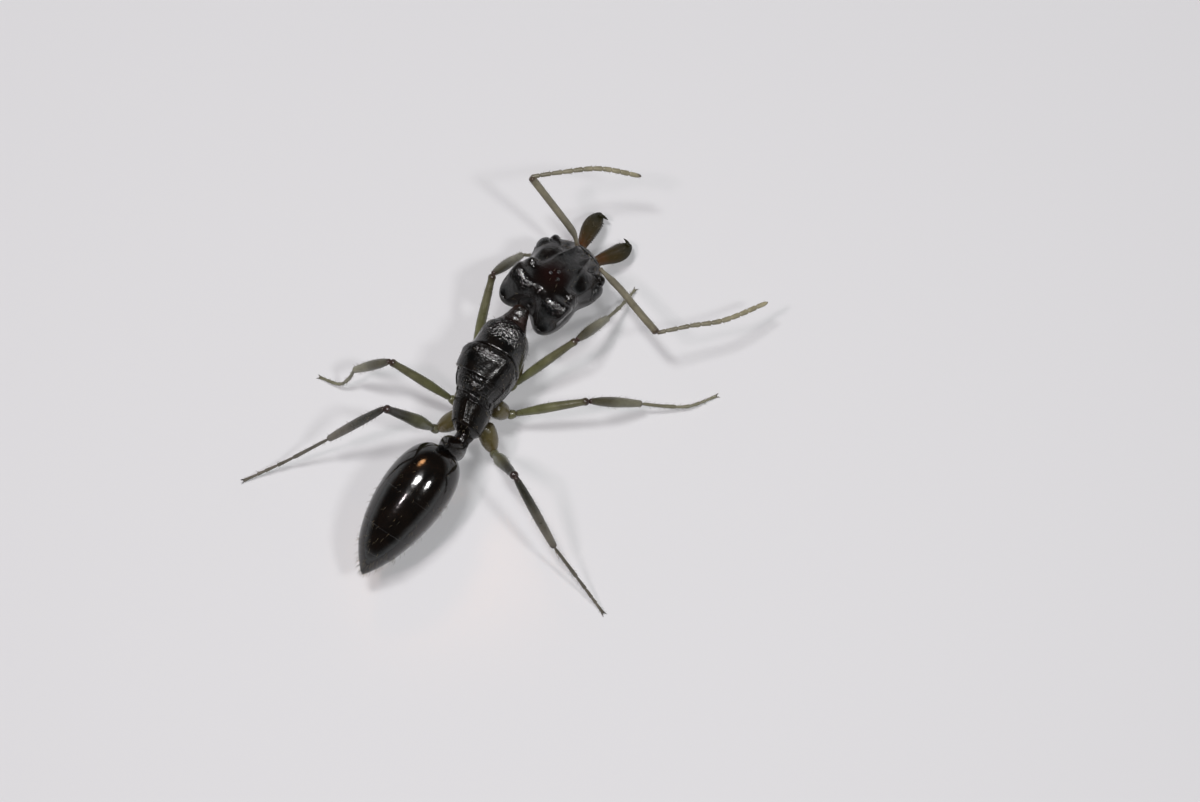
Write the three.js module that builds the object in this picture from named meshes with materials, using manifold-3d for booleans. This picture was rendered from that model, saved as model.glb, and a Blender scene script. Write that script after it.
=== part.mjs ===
// A winged-caste trap-jaw ant that has shed her wings, life size, standing on six feet with open jaws.
// Millimetres, +Z up. The ant's frame has the head towards -Y and the ant's left side towards +X.

import * as THREE from 'three';
import { mergeVertices } from 'three/addons/utils/BufferGeometryUtils.js';
import Module from 'manifold-3d';

const wasm = await Module();
wasm.setup();

// ---- Driving dimensions ----------------------------------------------------------------------

const clearance = 0.02; // space left between two neighbouring pieces
const limbThickness = 0.5; // shins, thighs and foot joints
const feelerThickness = 0.46;
const floorLevel = 0;

const head = {
  centre: [-0.36, -3.38, 2.15],
  yaw: -13.6, // turned to the ant's right
  pitch: 24, // nose down
  roll: -5, // left side raised
  rear: -1.68,
  front: 1.62,
  halfWidth: 1.09,
  crown: 0.8, // height of the crown over the axis
  throat: 0.7,
  notchDepth: 0.52,
  notchHalfWidth: 0.5,
  crest: { ahead: -1.03, sweep: 0.32, height: 0.03, reach: 0.2 }, // V-shaped ridge across the crown
  fall: { slope: 0.39, secondSlope: 0.6, secondStart: 0.12, lean: -0.1 }, // the drop behind the crest
  eye: { place: [0.98, -0.61, 0.18], radii: [0.21, 0.27, 0.24] },
};

const mandible = {
  left: [[0.235, -1.3, -0.2], [0.39, -1.87, -0.28], [0.6, -2.49, -0.38], [0.73, -3.18, -0.48]],
  right: [[-0.235, -1.3, -0.2], [-0.34, -1.85, -0.28], [-0.52, -2.45, -0.38], [-0.56, -3.07, -0.48]],
  halfWidth: 0.26,
  halfDepth: 0.21,
};

const mouth = { place: [0, -1.32, -0.44], radii: [0.2, 0.34, 0.17] };

const trunk = {
  front: -2.2,
  rear: 1.8,
  halfWidth: [
    [-2.2, 0.24], [-1.9, 0.34], [-1.6, 0.5], [-1.42, 0.65], [-1.25, 0.73], [-0.8, 0.77], [-0.2, 0.86],
    [0.3, 0.78], [0.7, 0.62], [1.2, 0.54], [1.6, 0.44], [1.8, 0.3],
  ],
  bend: [ // a little to the left, then to the right towards the rear
    [-2.2, 0], [-1.55, 0.07], [-1.0, 0.075], [-0.3, 0.075], [0.4, 0.075], [1.0, -0.02], [1.6, -0.155],
    [1.8, -0.17],
  ],
  top: [
    [-2.2, 2.9], [-1.78, 2.92], [-1.52, 3.06], [-1.22, 3.04], [-0.75, 3.15], [-0.4, 3.22], [-0.1, 3.25],
    [0.2, 3.275], [0.46, 3.31], [0.62, 3.25], [0.8, 3.0], [1.3, 2.93], [1.55, 2.88], [1.68, 2.68], [1.8, 2.3],
  ],
  bottom: [[-2.2, 2.52], [-1.5, 2.0], [-1.1, 1.66], [-0.5, 1.54], [0.4, 1.52], [1.1, 1.6], [1.8, 1.92]],
  squareness: 2.3,
  shoulders: [[-1.4, 0.9, 0.3], [-0.45, 0.8, 0.3], [1.3, -0.4, 0.4]], // place, extra squareness above, width
  rearTilt: 0.08, // how much higher the left side stands at the rear
  neckEnd: -1.5,
  pronotumEnd: -0.72,
  scutumEnd: 0.22,
  scutellumEnd: 0.74,
  sideSeam: 2.72, // height where the back plates meet the flanks
};

const petiole = {
  foot: [-0.02, 2.16, 1.7],
  apex: [0.02, 2.34, 3.0],
  halfWidth: 0.36,
  halfLength: 0.31,
  stalk: [[-0.2, 1.62, 2.14], [-0.12, 2.16, 2.1]],
  stalkRadius: 0.27,
};

const gaster = {
  route: [[0.12, 2.34, 2.12], [0.28, 3.4, 2.04], [0.47, 4.6, 1.9], [0.6, 5.6, 1.7], [0.68, 6.54, 1.42]],
  halfWidth: 0.99,
  fullest: 0.345,
  depthRatio: 0.93,
  seams: [0.4, 0.66, 0.83],
};

// Each leg: where the coxa starts, the hip, knee and ankle, then the foot's bends and its toe.
const legs = {
  left_fore: {
    coxa: [0.3, -1.08, 1.86], hip: [0.87, -0.48, 1.2], knee: [1.31, -2.8, 2.4], ankle: [1.12, -3.95, 1.0],
    foot: [[0.72, -4.3, 0.4], [0.1, -4.7, 0.06]],
  },
  right_fore: {
    coxa: [-0.34, -1.06, 1.86], hip: [-0.46, -0.23, 1.18], knee: [-1.79, -2.14, 2.46],
    ankle: [-2.03, -3.37, 1.15], foot: [[-2.1, -4.0, 0.55], [-2.14, -4.68, 0.06]],
  },
  left_mid: {
    coxa: [0.34, 0.4, 1.74], hip: [0.71, 0.81, 1.15], knee: [2.65, 0.88, 2.75], ankle: [3.75, 1.35, 1.4],
    foot: [[3.92, 1.58, 0.8], [4.2, 1.76, 0.36], [4.86, 1.79, 0.06]],
  },
  right_mid: {
    coxa: [-0.4, 0.56, 1.74], hip: [-0.8, 0.48, 1.15], knee: [-2.85, -0.8, 1.95], ankle: [-4.03, -1.62, 0.8],
    foot: [[-4.6, -1.92, 0.46], [-5.2, -2.29, 0.22], [-5.74, -2.94, 0.06]],
  },
  left_hind: {
    coxa: [0.22, 1.14, 1.76], hip: [0.8, 1.8, 1.25], knee: [1.98, 2.27, 3.42], ankle: [3.39, 3.53, 1.65],
    foot: [[4.4, 4.49, 0.6], [5.38, 5.52, 0.06]],
  },
  right_hind: {
    coxa: [-0.42, 1.1, 1.76], hip: [-0.98, 1.67, 1.25], knee: [-2.25, 2.32, 3.33], ankle: [-3.93, 3.39, 1.7],
    foot: [[-5.0, 3.85, 0.68], [-5.79, 4.21, 0.06]],
  },
};
const coxaRadius = 0.29;

const antennae = {
  left: {
    scape: [
      [-0.415, -4.7, 1.98], [-0.216, -4.915, 2.2], [-0.02, -5.02, 2.42], [0.51, -5.22, 2.95],
      [1.37, -5.53, 3.85],
    ],
    funiculus: [[1.37, -5.53, 3.85], [0.71, -6.04, 3.75], [-0.19, -6.73, 3.4], [-1.2, -7.18, 2.82]],
  },
  right: {
    scape: [[-1.31, -4.39, 2.0], [-2.13, -4.09, 2.2], [-2.81, -3.76, 2.4], [-3.77, -3.32, 2.65]],
    funiculus: [[-3.77, -3.32, 2.65], [-4.5, -3.96, 2.5], [-5.25, -4.62, 2.2], [-6.0, -5.7, 1.7]],
  },
};

const finish = {
  shell: { color: 0x15110f, roughness: 0.22, metalness: 0 },
  gasterShell: { color: 0x1a110c, roughness: 0.16, metalness: 0 },
  limb: { color: 0x4a4728, roughness: 0.35, metalness: 0 },
  feeler: { color: 0x554c34, roughness: 0.4, metalness: 0 },
  jaw: { color: 0x4b2f17, roughness: 0.3, metalness: 0 },
  eye: { color: 0x0c0c0d, roughness: 0.2, metalness: 0 },
};

// ---- Small functions of one number -----------------------------------------------------------

const vector = (place) => new THREE.Vector3(...place);
const bell = (x, centre, width) => Math.exp(-(((x - centre) / width) ** 2));
const { smoothstep } = THREE.MathUtils;
// 0 at `from` and 1 at `to`, whichever of them is larger.
const ramp = (x, from, to) => (from < to ? smoothstep(x, from, to) : 1 - smoothstep(x, to, from));

// Falls from 1 at `from` to 0 at `to`, round like the end of an egg.
function roundOff(x, from, to, power) {
  const s = THREE.MathUtils.clamp((x - from) / (to - from), 0, 1);
  return (1 - s ** power) ** (1 / power);
}

// A smooth curve through (place, value) pairs.
function profile(keys) {
  const slope = keys.map((key, i) => {
    const before = keys[Math.max(i - 1, 0)];
    const after = keys[Math.min(i + 1, keys.length - 1)];
    return (after[1] - before[1]) / (after[0] - before[0]);
  });
  return (x) => {
    let i = 0;
    while (i < keys.length - 2 && x > keys[i + 1][0]) i += 1;
    const span = keys[i + 1][0] - keys[i][0];
    const s = THREE.MathUtils.clamp((x - keys[i][0]) / span, 0, 1);
    const blend = s * s * (3 - 2 * s);
    const level = keys[i][1] * (1 - blend) + keys[i + 1][1] * blend;
    const lean = (slope[i] * s * (1 - s) ** 2 - slope[i + 1] * s * s * (1 - s)) * span;
    return level + lean;
  };
}

// A point on an oval of unit size; a power over 2 makes it squarer.
function oval(angle, power) {
  const spread = (value) => Math.sign(value) * Math.abs(value) ** (2 / power);
  return [spread(Math.cos(angle)), spread(Math.sin(angle))];
}

// ---- Closed bodies ---------------------------------------------------------------------------

// Rings of point(u, angle) from u = 0 to 1, closed at both ends by a point in the middle of the end ring.
function closedLoft(point, { rings, sides, roundStart = true, roundEnd = true }) {
  const ring = (u) => Array.from({ length: sides }, (_, i) => vector(point(u, (2 * Math.PI * i) / sides)));
  const middle = (points) => points.reduce((sum, p) => sum.add(p), new THREE.Vector3()).divideScalar(sides);
  const spacing = (t) => {
    if (roundStart && roundEnd) return (1 - Math.cos(Math.PI * t)) / 2;
    if (roundStart) return 1 - Math.cos((Math.PI * t) / 2);
    if (roundEnd) return Math.sin((Math.PI * t) / 2);
    return t;
  };
  const stations = [];
  for (let i = roundStart ? 1 : 0; i <= rings - (roundEnd ? 1 : 0); i += 1) stations.push(spacing(i / rings));
  const vertices = stations.flatMap(ring);
  vertices.push(middle(ring(0)), middle(ring(1)));
  const start = vertices.length - 2;
  const end = vertices.length - 1;
  const index = [];
  for (let i = 0; i < sides; i += 1) {
    const next = (i + 1) % sides;
    index.push(start, next, i);
    for (let r = 0; r + 1 < stations.length; r += 1) {
      const low = r * sides;
      index.push(low + i, low + next, low + sides + i, low + next, low + sides + next, low + sides + i);
    }
    const last = (stations.length - 1) * sides;
    index.push(last + i, last + next, end);
  }
  const geometry = new THREE.BufferGeometry().setFromPoints(vertices);
  geometry.setIndex(index);
  return facingOut(geometry);
}

function volumeOf(geometry) {
  const corner = geometry.getAttribute('position');
  const index = geometry.getIndex();
  const [a, b, c] = [new THREE.Vector3(), new THREE.Vector3(), new THREE.Vector3()];
  let sum = 0;
  for (let i = 0; i < index.count; i += 3) {
    a.fromBufferAttribute(corner, index.getX(i));
    b.fromBufferAttribute(corner, index.getX(i + 1));
    c.fromBufferAttribute(corner, index.getX(i + 2));
    sum += a.dot(b.cross(c)) / 6;
  }
  return sum;
}

function facingOut(geometry) {
  if (volumeOf(geometry) < 0) geometry.setIndex([...geometry.getIndex().array].reverse());
  return geometry;
}

// An oval tube along a smooth route. The half sizes are functions of u; roll turns the oval.
function limb(route, { sideways, upwards = sideways, rings = 8, sides = 8, up = [0, 0, 1] }) {
  const path = new THREE.CatmullRomCurve3(route.map(vector), false, 'centripetal');
  const skyward = vector(up);
  return closedLoft((u, angle) => {
    const along = path.getTangentAt(u);
    const across = new THREE.Vector3().crossVectors(skyward, along).normalize();
    const over = new THREE.Vector3().crossVectors(along, across);
    const [x, z] = oval(angle, 2);
    return path.getPointAt(u).addScaledVector(across, x * sideways(u)).addScaledVector(over, z * upwards(u));
  }, { rings, sides });
}

// Half thickness along a limb: full in the middle, rounded over a share of the length at each end.
const capped = (radius, cap, endCap = cap) => (u) => (
  radius * roundOff(u, cap, 0, 2) * roundOff(u, 1 - endCap, 1, 2)
);

function ellipsoid(place, radii, rings, sides) {
  return closedLoft((u, angle) => {
    const along = Math.PI * u;
    return [
      place[0] + radii[0] * Math.sin(along) * Math.cos(angle),
      place[1] - radii[1] * Math.cos(along),
      place[2] + radii[2] * Math.sin(along) * Math.sin(angle),
    ];
  }, { rings, sides, roundStart: true, roundEnd: true });
}

// ---- Cutting ---------------------------------------------------------------------------------

const bare = (geometry) => {
  const shell = geometry.clone();
  shell.deleteAttribute('normal');
  shell.deleteAttribute('uv');
  return mergeVertices(shell, 1e-5);
};

function solid(geometry) {
  const shell = bare(geometry);
  return new wasm.Manifold(new wasm.Mesh({
    numProp: 3,
    vertProperties: new Float32Array(shell.getAttribute('position').array),
    triVerts: new Uint32Array(shell.getIndex().array),
  }));
}

function geometryOf(body) {
  const mesh = body.getMesh();
  const geometry = new THREE.BufferGeometry();
  geometry.setAttribute('position', new THREE.BufferAttribute(mesh.vertProperties, 3));
  geometry.setIndex(new THREE.BufferAttribute(mesh.triVerts, 1));
  return geometry;
}

// The same shape, larger by the clearance all round.
function swollen(geometry, distance = clearance) {
  const shell = bare(geometry);
  shell.computeVertexNormals();
  const place = shell.getAttribute('position');
  const normal = shell.getAttribute('normal');
  for (let i = 0; i < place.count; i += 1) {
    place.setXYZ(i, place.getX(i) + distance * normal.getX(i), place.getY(i) + distance * normal.getY(i),
      place.getZ(i) + distance * normal.getZ(i));
  }
  return shell;
}

const carve = (geometry, neighbours) => geometryOf(
  neighbours.reduce((body, other) => body.subtract(solid(swollen(other))), solid(geometry)),
);
const join = (...geometries) => geometryOf(geometries.map(solid).reduce((body, other) => body.add(other)));

// A block between two corners, for cutting.
function block(low, high) {
  const size = vector(high).sub(vector(low));
  const centre = vector(high).add(vector(low)).multiplyScalar(0.5);
  return new THREE.BoxGeometry(size.x, size.y, size.z).translate(centre.x, centre.y, centre.z);
}
const keepInside = (geometry, low, high) => geometryOf(solid(geometry).intersect(solid(block(low, high))));

// ---- The scene graph -------------------------------------------------------------------------

const ant = new THREE.Group();
const headGroup = new THREE.Group();
headGroup.position.set(...head.centre);
const { degToRad } = THREE.MathUtils;
headGroup.rotation.set(degToRad(head.pitch), degToRad(head.roll), degToRad(head.yaw), 'ZXY');
ant.add(headGroup);
ant.updateMatrixWorld(true);

const fromHead = (geometry) => geometry.applyMatrix4(headGroup.matrixWorld);

// Adds a piece, modelled in the ant's frame, to a group.
function addPiece(name, geometry, look, group = ant) {
  const local = geometry.clone().applyMatrix4(group.matrixWorld.clone().invert());
  local.computeVertexNormals();
  const mesh = new THREE.Mesh(local, new THREE.MeshStandardMaterial(look));
  mesh.name = name;
  group.add(mesh);
}

function groupAt(place, parent = ant) {
  const group = new THREE.Group();
  group.position.copy(parent.worldToLocal(vector(place)));
  parent.add(group);
  parent.updateMatrixWorld(true);
  return group;
}

// ---- Head ------------------------------------------------------------------------------------

// How far ahead the crown's V-shaped crest runs, by the distance to the left of the middle.
const crestLine = (left) => head.crest.ahead + head.crest.sweep * left ** 2;

// Behind the crest the crown falls away in two steps, each of the form b^2 / (b + c).
function fallBehind(behind, left) {
  const { slope, secondSlope, secondStart } = head.fall;
  const beyond = Math.max(behind - secondStart, 0);
  const drop = (slope * behind ** 2) / (behind + 0.03) + (secondSlope * beyond ** 2) / (beyond + 0.08);
  return drop * ramp(Math.abs(left + head.fall.lean), 0, 0.65);
}

// What stands up from the crown (the crest, a low dome, a knob at each temple) or sinks in (the brows).
function crownRelief(left, ahead) {
  const side = Math.abs(left);
  const past = ahead - crestLine(left);
  const fromCrest = Math.max(past, 0) + Math.max(-head.crest.reach - past, 0);
  const crest = (head.crest.height + 0.1 * side ** 2 + 0.14 * side ** 4) * ramp(side, 1.05, 0.85)
    * bell(fromCrest, 0, head.crest.reach);
  const dome = 0.045 * bell(ahead, -0.25, 0.5) * bell(left, 0, 0.45);
  const temple = 0.16 * bell(ahead, -0.39, 0.15) * bell(side, 0.76, 0.16);
  const browHollow = 0.13 * bell(ahead, 0.98, 0.26) * bell(side, 0.54, 0.18);
  return crest + dome + temple - browHollow;
}

// In the head's frame: x to the left, y to the rear, z up, so `ahead` is -y.
function headSurface(u, angle) {
  const ahead = THREE.MathUtils.lerp(head.rear, head.front, u);
  const rearCap = roundOff(ahead, -0.6, head.rear, 3);
  const frontCap = roundOff(ahead, 0.5, head.front, 2);
  const waist = 0.08 * bell(ahead, -0.12, 0.28);
  const [across, over] = oval(angle, angle < Math.PI ? 2.35 + 1.1 * bell(ahead, -0.8, 0.5) : 2.35);
  const cheek = 0.07 * bell(ahead, 0.5, 0.25);
  const halfWidth = (head.halfWidth - waist + cheek) * rearCap * frontCap;
  const slope = ramp(ahead, -0.2, 1.4);
  const crown = (head.crown - 0.14 * slope) * rearCap * roundOff(ahead, 0.4, head.front, 1.8);
  const throat = (head.throat - 0.16 * slope) * rearCap * roundOff(ahead, 0.5, head.front, 2.2);
  const left = across * halfWidth;
  const topness = Math.max(over, 0);
  const notch = head.notchDepth * bell(left, 0, head.notchHalfWidth) * ramp(ahead, -0.5, head.rear);
  const behind = Math.max(crestLine(left) - ahead - notch, 0);
  const relief = topness * (crownRelief(left, ahead + notch) - fallBehind(behind, left));
  const height = over > 0 ? over * crown + relief : over * throat;
  return [left, -(ahead + notch), height - 0.08 * ramp(ahead, 0, head.front)];
}

const { eye } = head;
const mirrored = ([x, y, z]) => [-x, y, z];
const neckAndTrunk = trunkStretch(trunk.front, trunk.neckEnd, { rings: 5, sides: 18, roundStart: true });
const wholeHead = fromHead(closedLoft(headSurface, { rings: 22, sides: 28 }));
const leftEye = fromHead(ellipsoid(eye.place, eye.radii, 7, 9));
const rightEye = fromHead(ellipsoid(mirrored(eye.place), eye.radii, 7, 9));

function mandibleShape(route) {
  const breadth = (u) => mandible.halfWidth * (0.55 + 0.45 * bell(u, 0.66, 0.35)) * roundOff(u, 0.72, 1, 2)
    * roundOff(u, 0.12, 0, 2);
  const depth = (u) => mandible.halfDepth * roundOff(u, 0.6, 1, 1.8) * roundOff(u, 0.12, 0, 2);
  return fromHead(limb(route, { sideways: breadth, upwards: depth, rings: 11, sides: 12 }));
}

const leftJaw = mandibleShape(mandible.left);
const rightJaw = mandibleShape(mandible.right);
const mouthShape = fromHead(ellipsoid(mouth.place, mouth.radii, 6, 10));
addPiece('head_capsule', carve(wholeHead, [leftEye, rightEye]), finish.shell, headGroup);
addPiece('eye_left', leftEye, finish.eye, headGroup);
addPiece('eye_right', rightEye, finish.eye, headGroup);
addPiece('mandible_left', carve(leftJaw, [wholeHead]), finish.jaw, headGroup);
addPiece('mandible_right', carve(rightJaw, [wholeHead]), finish.jaw, headGroup);
addPiece('mouthparts', carve(mouthShape, [wholeHead, leftJaw, rightJaw]), finish.jaw, headGroup);

function addAntenna(side, { scape, funiculus }) {
  const half = feelerThickness / 2;
  const group = groupAt(scape[0], headGroup);
  const shaft = limb(scape, { sideways: capped(half, 0.08), rings: 9 });
  const lash = limb(funiculus, { sideways: capped(half, 0.06), rings: 11 });
  addPiece(`scape_${side}`, carve(shaft, [wholeHead]), finish.feeler, group);
  addPiece(`funiculus_${side}`, carve(lash, [shaft]), finish.feeler, group);
}
Object.entries(antennae).forEach(([side, route]) => addAntenna(side, route));

// ---- Trunk -----------------------------------------------------------------------------------

// The trunk's outer surface between two stations along Y: a squarish oval from belly to back.
function trunkStretch(from, to, { rings, sides = 24, roundStart = false, roundEnd = false }) {
  const halfWidth = profile(trunk.halfWidth);
  const top = profile(trunk.top);
  const bottom = profile(trunk.bottom);
  const bend = profile(trunk.bend);
  return closedLoft((u, angle) => {
    const y = THREE.MathUtils.lerp(from, to, u);
    const end = (roundStart ? roundOff(u, 0.25, 0, 2) : 1) * (roundEnd ? roundOff(u, 0.72, 1, 2.2) : 1);
    const broad = trunk.shoulders.reduce((sum, [at, extra, width]) => sum + extra * bell(y, at, width), 0);
    const [across, over] = oval(angle, trunk.squareness + broad * Math.max(Math.sin(angle), 0));
    const middle = THREE.MathUtils.lerp(bottom(y), top(y), 0.46);
    const reach = over > 0 ? top(y) - middle : middle - bottom(y);
    const tilt = trunk.rearTilt * ramp(y, 0.8, 1.1) * across * Math.max(over, 0);
    return [bend(y) + across * halfWidth(y) * end, y, middle + (over * reach + tilt) * end];
  }, { rings, sides, roundStart, roundEnd });
}

const seam = clearance / 2;
const far = 3;
const middleTrunk = trunkStretch(trunk.pronotumEnd + seam, trunk.scutellumEnd - seam, { rings: 11 });
const pronotumShape = trunkStretch(trunk.neckEnd + seam, trunk.pronotumEnd - seam, { rings: 6 });
const propodeumShape = trunkStretch(trunk.scutellumEnd + seam, trunk.rear, { rings: 7, roundEnd: true });

addPiece('neck', carve(neckAndTrunk, [wholeHead]), finish.shell);
addPiece('pronotum', pronotumShape, finish.shell);
const flanks = keepInside(middleTrunk, [-far, -far, 0], [far, far, trunk.sideSeam - seam]);
addPiece('mesopleura', flanks, finish.shell);
const aboveSeam = trunk.sideSeam + seam;
const scutum = keepInside(middleTrunk, [-far, -far, aboveSeam], [far, trunk.scutumEnd - seam, 2 * far]);
const scutellum = keepInside(middleTrunk, [-far, trunk.scutumEnd + seam, aboveSeam], [far, far, 2 * far]);
addPiece('mesoscutum', scutum, finish.shell);
addPiece('scutellum', scutellum, finish.shell);
addPiece('propodeum', propodeumShape, finish.shell);

// ---- Petiole and gaster ----------------------------------------------------------------------

// An upright scale that narrows to a blunt spine.
function petioleNode() {
  const taper = (u) => roundOff(u, 0.3, 1, 1.5) * roundOff(u, 0.12, 0, 2);
  return limb([petiole.foot, petiole.apex], {
    sideways: (u) => petiole.halfWidth * taper(u),
    upwards: (u) => petiole.halfLength * taper(u),
    rings: 8,
    sides: 12,
    up: [0, 1, 0],
  });
}

const stalk = limb(petiole.stalk, { sideways: capped(petiole.stalkRadius, 0.1), rings: 4, sides: 8 });
const petioleShape = join(petioleNode(), stalk);
addPiece('petiole', carve(petioleShape, [propodeumShape]), finish.shell);

// Half width along the gaster: u to the power `fullest` times (1 - u) to the rest of 1 peaks at u = fullest,
// and the last eighth is drawn in to a point.
function gasterBulge(u) {
  const { fullest } = gaster;
  const egg = (share) => Math.max(share, 0) ** fullest * Math.max(1 - share, 0) ** (1 - fullest);
  return ((gaster.halfWidth * egg(u)) / egg(fullest)) * (1 - 0.2 * bell(u, 1, 0.12));
}

function gasterStretch(from, to, rings) {
  const path = new THREE.CatmullRomCurve3(gaster.route.map(vector), false, 'centripetal');
  return closedLoft((u, angle) => {
    const place = THREE.MathUtils.lerp(from, to, u);
    const along = path.getTangentAt(place);
    const across = new THREE.Vector3(along.y, -along.x, 0).normalize();
    const over = new THREE.Vector3().crossVectors(across, along);
    const half = gasterBulge(place);
    return path.getPointAt(place).addScaledVector(across, half * Math.cos(angle))
      .addScaledVector(over, half * gaster.depthRatio * Math.sin(angle));
  }, { rings, sides: 24, roundStart: from === 0, roundEnd: to === 1 });
}

const seamShare = clearance / 8.5;
const gasterEnds = [0, ...gaster.seams, 1];
const gasterRings = [8, 5, 4, 4];
gasterRings.forEach((rings, i) => {
  const from = i === 0 ? 0 : gasterEnds[i] + seamShare;
  const to = i === gasterRings.length - 1 ? 1 : gasterEnds[i + 1] - seamShare;
  const segment = gasterStretch(from, to, rings);
  addPiece(`gaster_segment_${i + 1}`, i === 0 ? carve(segment, [petioleShape]) : segment, finish.gasterShell);
});

// ---- Legs ------------------------------------------------------------------------------------

const trunkBodies = [neckAndTrunk, pronotumShape, middleTrunk, propodeumShape];

function addLeg(name, { coxa, hip, knee, ankle, foot }) {
  const half = limbThickness / 2;
  const group = groupAt(hip);
  const coxaShape = limb([coxa, hip], { sideways: capped(coxaRadius, 0.3), rings: 6 });
  const femurShape = limb([hip, knee], { sideways: capped(half, 0.1), rings: 6 });
  const tibiaShape = limb([knee, ankle], { sideways: capped(half, 0.14), rings: 5 });
  const tarsusShape = limb([ankle, ...foot], { sideways: capped(half, 0.12, 0.06), rings: 9 });
  const floor = block([-20, -20, -5], [20, 20, floorLevel]);
  addPiece(`${name}_coxa`, carve(coxaShape, trunkBodies), finish.limb, group);
  addPiece(`${name}_femur`, carve(femurShape, [coxaShape, ...trunkBodies]), finish.limb, group);
  addPiece(`${name}_tibia`, carve(tibiaShape, [femurShape]), finish.limb, group);
  const tarsus = solid(carve(tarsusShape, [tibiaShape])).subtract(solid(floor));
  addPiece(`${name}_tarsus`, geometryOf(tarsus), finish.limb, group);
}
Object.entries(legs).forEach(([name, leg]) => addLeg(name, leg));

// ---- Origin: on the floor, under the middle of the whole ant ------------------------------------

ant.updateMatrixWorld(true);
const extent = new THREE.Box3().setFromObject(ant);
const middleOf = extent.getCenter(new THREE.Vector3());
ant.position.set(-middleOf.x, -middleOf.y, -extent.min.z);

export default ant;
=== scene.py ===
import bpy
import numpy as np
from mathutils import Euler, Matrix, Vector


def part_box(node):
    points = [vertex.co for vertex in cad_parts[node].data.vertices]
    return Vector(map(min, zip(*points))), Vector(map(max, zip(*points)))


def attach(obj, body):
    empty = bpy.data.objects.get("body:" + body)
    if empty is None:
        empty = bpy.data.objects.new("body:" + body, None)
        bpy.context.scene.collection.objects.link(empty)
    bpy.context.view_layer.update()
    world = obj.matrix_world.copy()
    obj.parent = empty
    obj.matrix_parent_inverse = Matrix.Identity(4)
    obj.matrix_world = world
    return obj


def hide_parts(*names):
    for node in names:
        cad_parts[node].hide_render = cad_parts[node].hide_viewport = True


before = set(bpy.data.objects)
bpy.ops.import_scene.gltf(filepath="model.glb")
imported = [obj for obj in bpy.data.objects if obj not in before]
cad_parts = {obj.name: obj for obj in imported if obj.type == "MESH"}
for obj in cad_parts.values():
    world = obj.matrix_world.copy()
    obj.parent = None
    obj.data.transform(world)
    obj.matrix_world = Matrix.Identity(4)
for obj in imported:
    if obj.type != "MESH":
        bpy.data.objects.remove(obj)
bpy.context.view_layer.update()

# A trap-jaw ant queen that has shed her wings. Shapes are worked out in millimetres in the ant's own frame
# (head towards -Y, her left towards +X, floor at z = 0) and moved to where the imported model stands.
mm = 0.001
draw = np.random.default_rng(29)

pronotumLow, pronotumHigh = (np.array(corner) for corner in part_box("pronotum"))
pronotumPlace = np.array([0.075, -1.49])  # its middle along X and its front along Y in the ant's frame
antOrigin = np.array([(pronotumLow[0] + pronotumHigh[0]) / 2, pronotumLow[1], 0.0])
antOrigin[:2] -= pronotumPlace * mm


# numbers and curves

def bell(x, centre, width):
    return np.exp(-(((x - centre) / width) ** 2))


def ramp(x, start, end):
    # 0 at start and 1 at end, eased with 3s^2 - 2s^3, whichever of them is larger
    s = np.clip((x - start) / (end - start), 0, 1)
    return s * s * (3 - 2 * s)


def roundOff(x, start, end, power):
    # 1 at start falling to 0 at end like the end of an egg: (1 - s^power)^(1/power)
    s = np.clip((x - start) / (end - start), 0, 1)
    return (1 - s ** power) ** (1 / power)


def roundEnds(x, first, last, power=2):
    # both ends of a limb rounded off: from 0 to first and from last to 1
    return roundOff(x, first, 0, power) * roundOff(x, last, 1, power)


def profile(keys):
    # smooth cubic through (place, value) pairs, each slope taken from the two neighbours
    place, value = np.array(keys, float).T
    before = np.r_[0, np.arange(len(place) - 1)]
    after = np.r_[np.arange(1, len(place)), len(place) - 1]
    slope = (value[after] - value[before]) / (place[after] - place[before])

    def at(x):
        x = np.asarray(x, float)
        i = np.clip(np.searchsorted(place, x, side="right") - 1, 0, len(place) - 2)
        span = place[i + 1] - place[i]
        s = np.clip((x - place[i]) / span, 0, 1)
        blend = s * s * (3 - 2 * s)
        lean = (slope[i] * s * (1 - s) ** 2 - slope[i + 1] * s * s * (1 - s)) * span
        return value[i] * (1 - blend) + value[i + 1] * blend + lean

    return at


def oval(angle, power):
    # cosine and sine, each raised to 2/power with its sign kept: squarer as power grows
    spread = lambda v: np.sign(v) * np.abs(v) ** (2 / power)
    return spread(np.cos(angle)), spread(np.sin(angle))


def unit(v):
    return v / np.maximum(np.linalg.norm(v, axis=-1, keepdims=True), 1e-12)


def easedSteps(count):
    # from 0 to 1, closer together at both ends: (1 - cos(pi t)) / 2
    return (1 - np.cos(np.pi * np.linspace(0, 1, count))) / 2


def around(count):
    return np.linspace(0, 2 * np.pi, count, endpoint=False)


def pathAt(route, u):
    # smooth curve through the route's points, read at shares u of its length
    route = np.array(route, float)
    knots = np.r_[0, np.cumsum(np.sqrt(np.linalg.norm(np.diff(route, axis=0), axis=1)))]
    fine = np.linspace(0, knots[-1], 600)
    curve = np.stack([profile(np.c_[knots, route[:, k]])(fine) for k in range(3)], axis=1)
    length = np.r_[0, np.cumsum(np.linalg.norm(np.diff(curve, axis=0), axis=1))]
    return np.stack([np.interp(np.asarray(u) * length[-1], length, curve[:, k]) for k in range(3)], axis=1)


def pathFrame(route, u, up):
    # place, forward direction, sideways direction and upward direction along a route
    step = 1e-3
    place = pathAt(route, u)
    forward = unit(pathAt(route, np.clip(u + step, 0, 1)) - pathAt(route, np.clip(u - step, 0, 1)))
    across = unit(np.cross(np.array(up, float), forward))
    return place, forward, across, np.cross(forward, across)


# surfaces

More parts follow.
